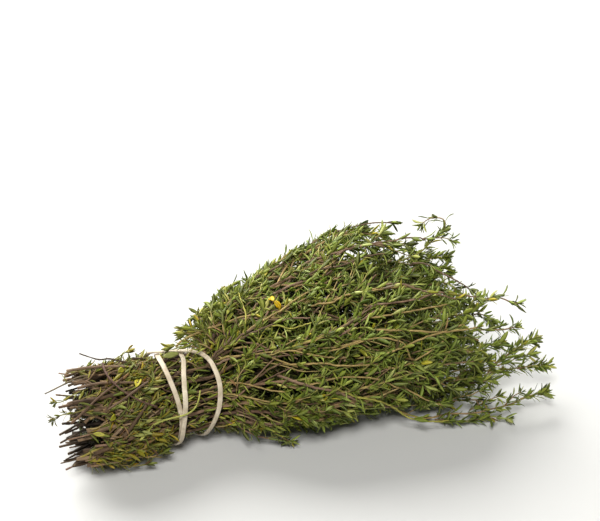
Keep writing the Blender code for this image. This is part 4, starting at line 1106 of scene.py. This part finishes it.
# Stems that can be followed by eye over the fan: tint, radius, leafiness, way.
TINTS = {"O": (0.340, 0.245, 0.092), "B": (0.130, 0.085, 0.050), "P": (0.215, 0.135, 0.088), "Y": (0.330, 0.310, 0.060)}
IN_SIGHT = (
    ("O", 0.46, 0.50, ((24.5, -1.5, 50.0), (33.0, 0.0, 52.5), (38.0, 0.5, 54.0), (46.5, 3.5, 56.0))),
    ("P", 0.50, 0.20, ((34.5, 11.5, 53.0), (41.0, 12.0, 54.0), (46.5, 12.5, 55.5))),
    ("P", 0.42, 0.60, ((56.0, 24.0, 55.0), (67.0, 24.5, 57.0), (75.0, 23.0, 59.0), (85.0, 21.0, 61.0))),
    ("B", 0.42, 0.60, ((58.5, 16.5, 57.0), (69.5, 14.0, 59.0), (79.5, 14.5, 60.5))),
    ("B", 0.40, 0.70, ((37.5, 29.5, 49.0), (46.0, 30.5, 51.0), (55.5, 36.5, 50.0), (73.0, 46.0, 48.5), (80.5, 45.5, 51.0), (94.5, 43.5, 53.5))),
    ("B", 0.60, 0.15, ((7.5, -1.5, 39.0), (15.0, -0.5, 45.0), (19.0, 3.0, 47.0))),
    ("O", 0.45, 0.40, ((-2.5, 10.5, 40.0), (5.5, 10.5, 43.0), (15.5, 10.5, 44.5), (20.5, 8.0, 48.0))),
    ("Y", 0.44, 0.70, ((11.5, -2.5, 42.0), (18.0, -3.5, 46.0), (22.5, 2.0, 49.0), (24.5, 7.0, 50.0), (25.5, 14.0, 50.0))),
    ("Y", 0.36, 0.50, ((26.0, -7.5, 49.0), (28.0, -5.5, 50.0), (30.5, -4.5, 51.0), (34.0, -6.5, 52.0), (38.0, -10.0, 52.0), (42.0, -10.5, 53.0))),
    ("B", 0.46, 0.30, ((17.5, -3.0, 46.0), (23.5, -4.0, 49.0), (28.5, -4.5, 51.0))),
    ("O", 0.45, 0.50, ((11.5, -6.0, 41.0), (18.5, -11.0, 44.0), (27.0, -15.5, 47.0), (35.0, -18.5, 48.0), (43.5, -23.0, 47.0))),
    ("O", 0.46, 0.40, ((39.5, -17.5, 49.5), (49.0, -18.0, 51.0), (55.5, -17.0, 52.5))),
    ("B", 0.46, 0.10, ((58.0, -17.5, 53.0), (65.0, -15.0, 54.5), (71.5, -13.0, 56.0))),
    ("P", 0.44, 0.10, ((59.0, -19.0, 52.0), (66.0, -17.0, 54.0), (71.5, -15.0, 55.0))),
    ("O", 0.44, 0.50, ((52.5, -3.0, 56.0), (58.0, -4.5, 56.5), (64.0, -3.5, 57.5), (75.0, -5.0, 59.0))),
    ("P", 0.36, 0.30, ((39.0, -4.5, 53.0), (43.5, -7.0, 54.0), (49.0, -9.0, 54.0))),
    ("O", 0.44, 0.40, ((57.5, -23.5, 49.0), (62.5, -24.0, 50.0), (67.5, -24.0, 50.0), (60.5, -24.0, 49.0))),
    ("P", 0.42, 0.50, ((72.5, 22.5, 59.0), (85.0, 22.0, 60.5), (95.0, 20.5, 61.0), (102.5, 21.5, 60.0))),
    ("O", 0.42, 0.60, ((62.5, -3.0, 57.0), (70.0, -4.0, 58.0), (80.0, -6.0, 59.0), (84.5, -6.5, 59.0))),
    ("P", 0.44, 0.50, ((75.5, -12.5, 57.0), (86.5, -14.0, 57.0), (94.5, -14.5, 57.0), (101.0, -13.0, 57.0), (109.0, -15.5, 56.0))),
    ("O", 0.42, 0.50, ((72.5, -17.0, 54.5), (86.0, -18.5, 55.0), (94.5, -19.0, 55.0))),
    ("O", 0.46, 0.30, ((74.5, -23.0, 52.0), (86.0, -25.5, 50.5), (98.5, -28.5, 48.5), (104.5, -29.0, 48.0))),
    ("O", 0.46, 0.35, ((59.5, -24.0, 49.0), (69.0, -24.5, 50.0), (77.0, -26.5, 49.0), (81.0, -29.0, 47.5), (82.0, -31.5, 44.5))),
    ("O", 0.46, 0.30, ((69.0, -30.0, 45.0), (77.5, -30.0, 46.0), (92.0, -28.5, 48.0), (98.5, -28.5, 48.5))),
    ("P", 0.40, 0.50, ((89.5, -6.5, 59.5), (96.5, -11.5, 58.0), (101.5, -14.0, 57.0))),
    ("B", 0.40, 0.50, ((104.0, 2.0, 60.0), (107.0, -3.0, 59.0), (110.5, -6.5, 58.0))),
    ("P", 0.62, 0.25, ((35.0, -29.5, 39.5), (39.5, -31.5, 38.0), (46.5, -34.0, 36.0), (55.0, -35.5, 31.0), (63.5, -33.0, 23.0), (72.0, -32.5, 18.0))),
    ("O", 0.42, 0.50, ((39.0, -31.0, 39.0), (50.0, -32.0, 40.0), (60.0, -33.5, 39.0), (68.5, -35.5, 36.5), (74.5, -36.0, 32.0), (81.0, -36.0, 28.0), (87.0, -39.0, 24.0))),
    ("Y", 0.46, 0.30, ((56.0, -36.0, 32.0), (67.0, -36.0, 26.0), (76.5, -33.5, 17.0), (83.0, -35.5, 11.0), (90.5, -38.0, 9.0))),
    ("Y", 0.52, 0.30, ((39.5, -17.5, 49.5), (44.5, -17.5, 50.5), (50.5, -17.5, 51.5))),
    ("O", 0.44, 0.40, ((38.5, -25.0, 45.0), (46.5, -27.0, 45.0), (52.5, -29.5, 44.0), (61.0, -31.0, 43.0))),
    ("O", 0.42, 0.40, ((76.5, -34.0, 40.0), (83.0, -34.0, 41.0), (90.0, -33.0, 43.0))),
    ("P", 0.46, 0.30, ((4.5, -6.0, 37.0), (12.5, -7.5, 41.0), (19.0, -11.0, 44.5))),
    ("O", 0.42, 0.40, ((9.0, -13.5, 34.0), (13.0, -16.5, 35.0), (16.5, -19.5, 35.5), (21.0, -24.0, 36.0))),
    ("P", 0.42, 0.40, ((7.0, -17.5, 17.0), (12.0, -18.5, 13.0), (16.5, -21.0, 10.0), (21.0, -23.0, 8.0))),
    ("O", 0.40, 0.50, ((7.5, -15.5, 30.0), (11.5, -18.5, 30.5), (15.5, -22.0, 31.0), (22.0, -27.0, 31.0))),
    ("B", 0.60, 0.10, ((8.5, -2.0, 39.0), (13.0, -2.5, 43.0), (17.0, -2.5, 46.0))),
)


def inwards(p, depth):
    """The point moved towards the bunch's middle line."""
    cy, cz, hy, hz = reach_at(p[0])
    return p + depth * unit(np.array([0.0, cy - p[1], cz - p[2]]))


for k, (tint, radius, leafy, way) in enumerate(IN_SIGHT):
    rng = np.random.RandomState(GROW_SEED + 3000 + k)
    way = np.array(way)
    way = np.concatenate([
        [inwards(way[0] - 8.0 * unit(way[1] - way[0]), 5.0)], way,
        [inwards(way[-1] + 5.0 * unit(way[-1] - way[-2]), 0.8), inwards(way[-1] + 11.0 * unit(way[-1] - way[-2]), 2.6)]])
    path = smooth_path(way, 1.4)
    path = path + rng.normal(0.0, 0.10, path.shape)
    path[:, 2] = np.maximum(path[:, 2], 1.5)
    keep = [clear_of_band(path[m:m + 1], 1.6) for m in range(len(path))]
    first = max([m + 1 for m in range(len(path)) if not keep[m]] + [0])
    path = path[first:]
    shape = SHAPES[nearest_sprig(path[0])]
    s = arc(path)
    t = s / s[-1]
    cols = np.tile(TINTS[tint], (len(path), 1)) * (1.0 + 0.12 * rng.normal(size=(len(path), 1)))
    shape.tube(path, radius * (1.0 - 0.25 * t) * (1.0 + 0.05 * rng.normal(size=len(path))), cols, 7)
    ahead, side, up = frames(path)
    at, a = rng.uniform(3.0, 8.0), rng.uniform(0.0, math.pi)
    while at < s[-1] - 2.0:
        pos, dr, sd = sample(path, s, path, at), unit(sample(path, s, ahead, at)), unit(sample(path, s, side, at))
        u = np.cross(dr, sd)
        for flip in (0.0, math.pi):
            o = math.cos(a + flip) * sd + math.sin(a + flip) * u
            if rng.rand() < 0.35 + 0.65 * leafy:
                size = rng.uniform(5.0, 7.8)
                put_leaf(shape, rng, pos + o * radius * 0.7, dr, o, rng.uniform(0.45, 1.10), size, size * rng.uniform(0.20, 0.27), 0.35, 0.05, dr, 0.2)
                if rng.rand() < 0.5 * leafy:
                    tuft(shape, rng, pos + o * (radius + 0.2), dr, o, 5.2, 0.4, 0.04, dr, 0.2)
        a += 0.5 * math.pi + rng.normal(0.0, 0.2)
        at += rng.uniform(4.5, 8.0)
    rosette(shape, rng, path[-1], ahead[-1], 5.4, 0.4, 0.03)

# Leaves that hang below the bound stems at the front.
for k, way in enumerate((
        ((-36.0, -17.5, 11.0), (-31.0, -19.5, 9.5), (-25.5, -20.5, 9.0), (-20.5, -20.0, 9.5)),
        ((-44.0, -18.0, 10.0), (-39.0, -20.0, 8.0), (-33.5, -21.5, 7.0), (-28.0, -22.0, 7.0)))):
    special(way, 0.36, 6.0, 60 + k, gap=(3.4, 5.0), tufts=0.45, young=0.3, stale=0.30, colour_from=0.9)
# A drooping shoot at the near edge of the fan.
special(((18.0, -20.0, 17.0), (22.0, -24.0, 14.5), (26.5, -26.0, 11.0), (30.5, -27.0, 7.5), (33.5, -27.0, 4.5)), 0.42, 5.4, 70, gap=(2.8, 3.8), tufts=0.6, young=0.6, stale=0.12, colour_from=0.9)
# One leaf over the band's top, and turned yellow leaves that lie in sight.
top_leaf = SHAPES[nearest_sprig(np.array([-12.0, 3.0, 37.0]))]
top_leaf.leaf(np.array([-13.6, 2.6, 40.9]), unit(np.array([0.97, 0.12, -0.03])), unit(np.array([0.0, -0.55, 0.85])), 8.2, 2.9, 0.25, 0.2, 0.1, np.array([0.25, 0.27, 0.075]), np.array([0.30, 0.32, 0.14]))
for at, axis, face, length, width, curl, twist, fold, colour in (
        ((-34.0, -1.0, 41.6), (0.9, 0.3, 0.0), (0.0, -0.7, 0.7), 4.4, 2.4, 0.8, 0.3, 0.5, (0.27, 0.26, 0.020)),
        ((-29.0, -9.6, 38.8), (0.6, 0.7, 0.3), (-0.2, -0.7, 0.7), 6.4, 2.9, 0.9, 0.7, 0.7, (0.43, 0.37, 0.025)),
        ((-43.2, -19.6, 33.6), (0.8, 0.4, 0.1), (-0.1, -0.8, 0.6), 5.2, 2.4, 0.9, -0.4, 0.5, (0.30, 0.29, 0.022)),
        ((-51.4, -22.0, 31.0), (0.9, -0.1, -0.3), (-0.1, -0.8, 0.6), 5.4, 1.9, -0.5, 0.5, 0.5, (0.34, 0.32, 0.040)),
        ((35.6, 9.6, 54.2), (0.22, -0.90, 0.1), (-0.5, -0.3, 0.8), 5.2, 2.6, -0.7, 0.9, 0.9, (0.68, 0.47, 0.006)),
        ((36.4, 6.4, 54.8), (0.50, -0.75, -0.2), (0.2, -0.7, 0.7), 4.8, 2.3, 1.0, -0.8, 0.8, (0.62, 0.41, 0.006)),
        ((37.8, 4.6, 54.2), (0.10, -0.9, -0.4), (0.5, -0.5, 0.7), 3.6, 1.8, 0.9, 0.6, 0.9, (0.50, 0.32, 0.008))):
    at = np.array(at)
    SHAPES[nearest_sprig(at)].leaf(at, unit(np.array(axis)), unit(np.array(face)), length, width, curl, twist, fold, np.array(colour), np.array(colour) * 0.8)

# A tangle of thin twigs and leafy bits over the bound part, all the way round.
def on_surface(x, a, out=0.0):
    """A point on the bound part's surface, at an angle round it, raised out of it by the given distance."""
    cy, cz, hy, hz = reach_at(x)
    return np.array([x, cy + (hy + out) * math.cos(a), max(1.0, cz + (hz + out) * math.sin(a))])


rng = np.random.RandomState(GROW_SEED + 777)
for k in range(230):
    behind = k < 195
    x0 = -53.0 + 31.0 * rng.rand() ** 1.15 if behind else rng.uniform(-14.0, 4.0)
    a0 = rng.uniform(0.0, 2.0 * math.pi)
    turn = rng.normal(0.0, 0.030)
    reach = rng.uniform(9.0, 27.0) if behind else rng.uniform(6.0, 12.0)
    lift = rng.uniform(-1.6, 0.5)
    xs = np.linspace(x0, x0 + reach, 7)
    wave = np.cumsum(rng.normal(0.0, 0.035, 7))
    pts = np.array([on_surface(x, a0 + turn * (x - x0) + w, lift + 0.5 * rng.normal()) for x, w in zip(xs, wave)])
    pts[:, 2] = np.maximum(pts[:, 2], 1.2)
    path = smooth_path(pts, 1.3)
    if not clear_of_band(path, 1.5):
        path = path[path[:, 0] < -20.0] if behind else path[path[:, 0] > 6.0]
        if len(path) < 5 or not clear_of_band(path, 1.5):
            continue
    shape = SHAPES[nearest_sprig(path[len(path) // 2])]
    woody = 0.80 - 0.30 * min(1.0, max(0.0, (path[0, 0] + 55.0) / 40.0))
    low_down = min(1.0, max(0.0, (24.0 - path[:, 2].mean()) / 14.0)) if behind else 0.0
    if rng.rand() < woody - 0.35 * low_down:
        t = np.linspace(0.0, 1.0, len(path))
        pick = rng.rand()
        base = STEM_WOOD[rng.randint(4)] if pick < 0.66 else (STEM_PURPLE[rng.randint(3)] if pick < 0.84 else STEM_OCHRE[rng.randint(3)])
        cols = np.tile(base, (len(path), 1)) * (1.0 + 0.15 * rng.normal(size=(len(path), 1)))
        shape.tube(path, rng.uniform(0.30, 0.70) * (1.0 - 0.40 * t) * (1.0 + 0.08 * rng.normal(size=len(path))), cols, 6)
    else:
        leafy_path(shape, rng, path, rng.uniform(0.26, 0.42), rng.uniform(4.6, 7.0), 0.30, 0.20 + 0.30 * low_down, start_bare=rng.uniform(1.0, 5.0), gap=(3.8, 6.5), tip=rng.rand() < 0.4,
                   colour_from=0.3, colour_shift=rng.choice([0.10, -0.30]), fill=0.80, tufts=0.25, lean_lo=0.30, lean_hi=1.0)

# Shoots and bare twigs that lie across the others on the outside of the fan, all the way round.
rng = np.random.RandomState(GROW_SEED + 888)
for k in range(185):
    bare = k >= 95
    x0 = 7.0 + (66.0 * rng.rand() ** 1.5 if bare else 88.0 * rng.rand() ** 1.1)
    a0 = rng.uniform(-0.15 * math.pi, 1.15 * math.pi) if k % 4 else rng.uniform(0.0, 2.0 * math.pi)
    reach = rng.uniform(12.0, 32.0) if bare else rng.uniform(10.0, 21.0)
    slope = rng.choice([-1.0, 1.0]) * (rng.uniform(0.08, 0.75) if bare else rng.uniform(0.25, 1.05))
    xs = x0 + np.linspace(0.0, reach, 6) * math.cos(slope)
    pts = []
    a = a0
    rise = rng.uniform(0.6, 1.5) if bare else 2.2
    for x in xs:
        cy, cz, hy, hz = reach_at(x)
        pts.append(on_surface(x, a, -1.6 + rise * (x - x0) / reach + 0.4 * rng.normal()))
        a += math.sin(slope) * reach / 5.0 / (0.5 * (hy + hz)) + rng.normal(0.0, 0.02)
    pts = np.array(pts)
    pts[:, 2] = np.maximum(pts[:, 2], 1.6)
    path = smooth_path(pts, 1.3)
    if not clear_of_band(path, 1.7):
        continue
    shape = SHAPES[nearest_sprig(path[len(path) // 2])]
    if bare:
        woody = rng.rand() < 0.85 - 0.005 * x0
        base = (STEM_WOOD[rng.randint(1, 4)] if rng.rand() < 0.5 else STEM_PURPLE[rng.randint(3)]) if woody else STEM_OCHRE[rng.randint(3)]
        t = np.linspace(0.0, 1.0, len(path))
        cols = np.tile(base, (len(path), 1)) * (1.0 + 0.12 * rng.normal(size=(len(path), 1)))
        shape.tube(path, rng.uniform(0.28, 0.52) * (1.0 - 0.35 * t), cols, 6)
    else:
        leafy_path(shape, rng, path, rng.uniform(0.32, 0.46), rng.uniform(5.6, 7.6), 0.35, 0.04, gap=(3.6, 5.6), fill=0.85, tufts=0.28, lean_lo=0.45, lean_hi=1.15, colour_from=rng.choice([0.25, 0.5, 0.75]))

# Leafy ends that close the fan's tips.
for k in range(30):
    y0 = rng.uniform(-20.0, 24.0)
    z1 = float(np.interp(y0, [-20.0, -8.0, 2.0, 12.0, 24.0], [20.0, 33.0, 38.0, 42.0, 46.0])) - rng.uniform(0.0, 1.0) ** 1.5 * 16.0
    x1 = float(np.interp(y0, [-20.0, -8.0, 2.0, 12.0, 24.0], [124.0, 121.0, 118.0, 118.0, 112.0])) - rng.uniform(0.0, 7.0)
    reach = rng.uniform(14.0, 24.0)
    turn = rng.normal(0.0, 0.22)
    pts = [(x1 - reach * (1.0 - f), y0 + turn * reach * f - 0.5 * turn * reach + rng.normal(0.0, 0.5), max(2.0, z1 + rng.normal(0.0, 0.5) - 1.5 * (1.0 - f))) for f in np.linspace(0.0, 1.0, 5)]
    path = smooth_path(np.array(pts), 1.3)
    leafy_path(SHAPES[nearest_sprig(path[0])], rng, path, 0.38, rng.uniform(6.0, 7.6), 0.45, 0.02, gap=(2.8, 4.2), tufts=0.55, start_bare=2.0)

# Thin brown ends that stick out among the cut stems.
for k in range(34):
    a = rng.uniform(0.0, 2.0 * math.pi)
    q = math.sqrt(rng.uniform(0.15, 1.0))
    cy, cz, hy, hz = reach_at(-52.0)
    y0, z0 = cy + q * hy * math.cos(a), cz + q * hz * math.sin(a)
    x1 = -54.5 + 0.26 * y0 + rng.uniform(-5.5, 2.5)
    reach = rng.uniform(12.0, 24.0)
    sy, sz = rng.normal(0.0, 0.16, 2)
    pts = np.array([(x1 + reach * f, y0 * (1.0 - 0.10 * f) + sy * reach * (0.4 - f), cz + (z0 - cz) * (1.0 - 0.10 * f) + sz * reach * (0.4 - f)) for f in np.linspace(1.0, 0.0, 5)])
    pts[:, 2] = np.maximum(pts[:, 2], 1.3)
    path = smooth_path(pts, 1.3)
    base = STEM_WOOD[rng.randint(4)] if rng.rand() < 0.75 else STEM_PURPLE[rng.randint(3)]
    cols = np.tile(base, (len(path), 1)) * (1.0 + 0.15 * rng.normal(size=(len(path), 1)))
    SHAPES[nearest_sprig(path[0])].tube(path, rng.uniform(0.32, 0.72) * (1.0 + 0.10 * rng.normal(size=len(path))), cols, 6)

# Small yellowing shoots that hang among the cut stems, most of them low on the front.
rng = np.random.RandomState(GROW_SEED + 951)
for k in range(44):
    x0 = rng.uniform(-56.0, -29.0)
    a0 = rng.uniform(0.72 * math.pi, 1.36 * math.pi) if k % 4 else rng.uniform(0.0, 2.0 * math.pi)
    reach = rng.uniform(8.0, 15.0)
    turn = rng.normal(0.0, 0.030)
    xs = np.linspace(x0, x0 + reach, 6)
    pts = np.array([on_surface(x, a0 + turn * (x - x0), rng.uniform(-0.8, 0.4) + 0.9 * (x - x0) / reach) for x in xs])
    pts[:, 2] = np.maximum(pts[:, 2], 1.4)
    path = smooth_path(pts, 1.3)
    if not clear_of_band(path, 1.7):
        path = path[path[:, 0] < -20.0]
        if len(path) < 5 or not clear_of_band(path, 1.7):
            continue
    low_down = min(1.0, max(0.0, (26.0 - path[:, 2].mean()) / 14.0))
    leafy_path(SHAPES[nearest_sprig(path[len(path) // 2])], rng, path, rng.uniform(0.24, 0.36), rng.uniform(5.6, 7.8), 0.60, 0.26 + 0.42 * low_down, start_bare=1.0, gap=(3.4, 5.4),
               tip=rng.rand() < 0.5, colour_from=0.5, colour_shift=0.10, fill=0.85, tufts=0.30, lean_lo=0.35, lean_hi=1.1)

for i, shape in enumerate(SHAPES):
    ob = shape.build(f"leafy_sprig_{i + 1:02d}", (LEAF, STEM), to_row)
    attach(ob, "root")
    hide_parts(f"sprig_{i + 1:02d}")

band = band_mesh(to_row, RUBBER)
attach(band, "root")
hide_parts("rubber_band")


# ------------------------------------------------------------------ stage, light, camera
def stage():
    mesh = bpy.data.meshes.new("floor")
    e = 4.0
    mesh.from_pydata([(-e, -e, 0.0), (e, -e, 0.0), (e, e, 0.0), (-e, e, 0.0)], [], [(0, 1, 2, 3)])
    floor = bpy.data.objects.new("floor", mesh)
    bpy.context.scene.collection.objects.link(floor)
    mat, tree, bsdf = nodes_of("pale_floor")
    bsdf.inputs["Base Color"].default_value = (0.612, 0.617, 0.612, 1.0)
    bsdf.inputs["Roughness"].default_value = 0.9
    bsdf.inputs["Specular IOR Level"].default_value = 0.1
    mesh.materials.append(mat)
    floor.location.z = -0.0002

    world = bpy.data.worlds.new("studio")
    bpy.context.scene.world = world
    world.use_nodes = True
    bg = world.node_tree.nodes["Background"]
    bg.inputs["Color"].default_value = (1.0, 1.0, 1.0, 1.0)
    bg.inputs["Strength"].default_value = 0.10

    def area(name, at, size, power, colour=(1.0, 1.0, 1.0)):
        light = bpy.data.lights.new(name, "AREA")
        light.shape = "DISK"
        light.size = size
        light.energy = power
        light.color = colour
        ob = bpy.data.objects.new(name, light)
        ob.location = at
        ob.rotation_mode = "QUATERNION"
        ob.rotation_quaternion = (Vector((0.0, 0.0, 0.02)) - Vector(at)).to_track_quat("-Z", "Y")
        bpy.context.scene.collection.objects.link(ob)

    area("key", (-0.30, 1.46, 1.10), 2.00, 84.0, (1.0, 0.985, 0.95))
    area("front", (-0.45, -0.85, 1.45), 0.50, 24.5, (1.0, 0.985, 0.95))


def camera():
    az, el = math.radians(VIEW_AZIMUTH), math.radians(VIEW_ELEVATION)
    neck = to_row(np.array([0.0, 0.0, NECK_CENTRE_Z]))
    forward = np.array([math.sin(az) * math.cos(el), math.cos(az) * math.cos(el), -math.sin(el)])
    right = np.array([math.cos(az), -math.sin(az), 0.0])
    up = np.cross(right, forward)
    eye = neck - forward * VIEW_DISTANCE * 0.001
    data = bpy.data.cameras.new("camera")
    data.sensor_width = 36.0
    data.lens = 36.0 * VIEW_DISTANCE / (600.0 * MM_PER_PIXEL)
    # Turn the camera so that the neck falls on its place in the frame.
    dx, dy = (NECK_PIXEL[0] - 300.0) * MM_PER_PIXEL * 0.001, (260.5 - NECK_PIXEL[1]) * MM_PER_PIXEL * 0.001
    target = neck - right * dx - up * dy
    cam = bpy.data.objects.new("camera", data)
    cam.location = eye
    look = Vector(target - eye).normalized()
    x_axis = look.cross(Vector(up)).normalized()
    y_axis = x_axis.cross(look)
    cam.matrix_world = Matrix.Translation(Vector(eye)) @ Matrix((x_axis, y_axis, -look)).transposed().to_4x4()
    data.clip_start, data.clip_end = 0.05, 50.0
    data.dof.use_dof = False
    bpy.context.scene.collection.objects.link(cam)
    bpy.context.scene.camera = cam


stage()
camera()
bpy.context.scene.view_settings.view_transform = "Standard"
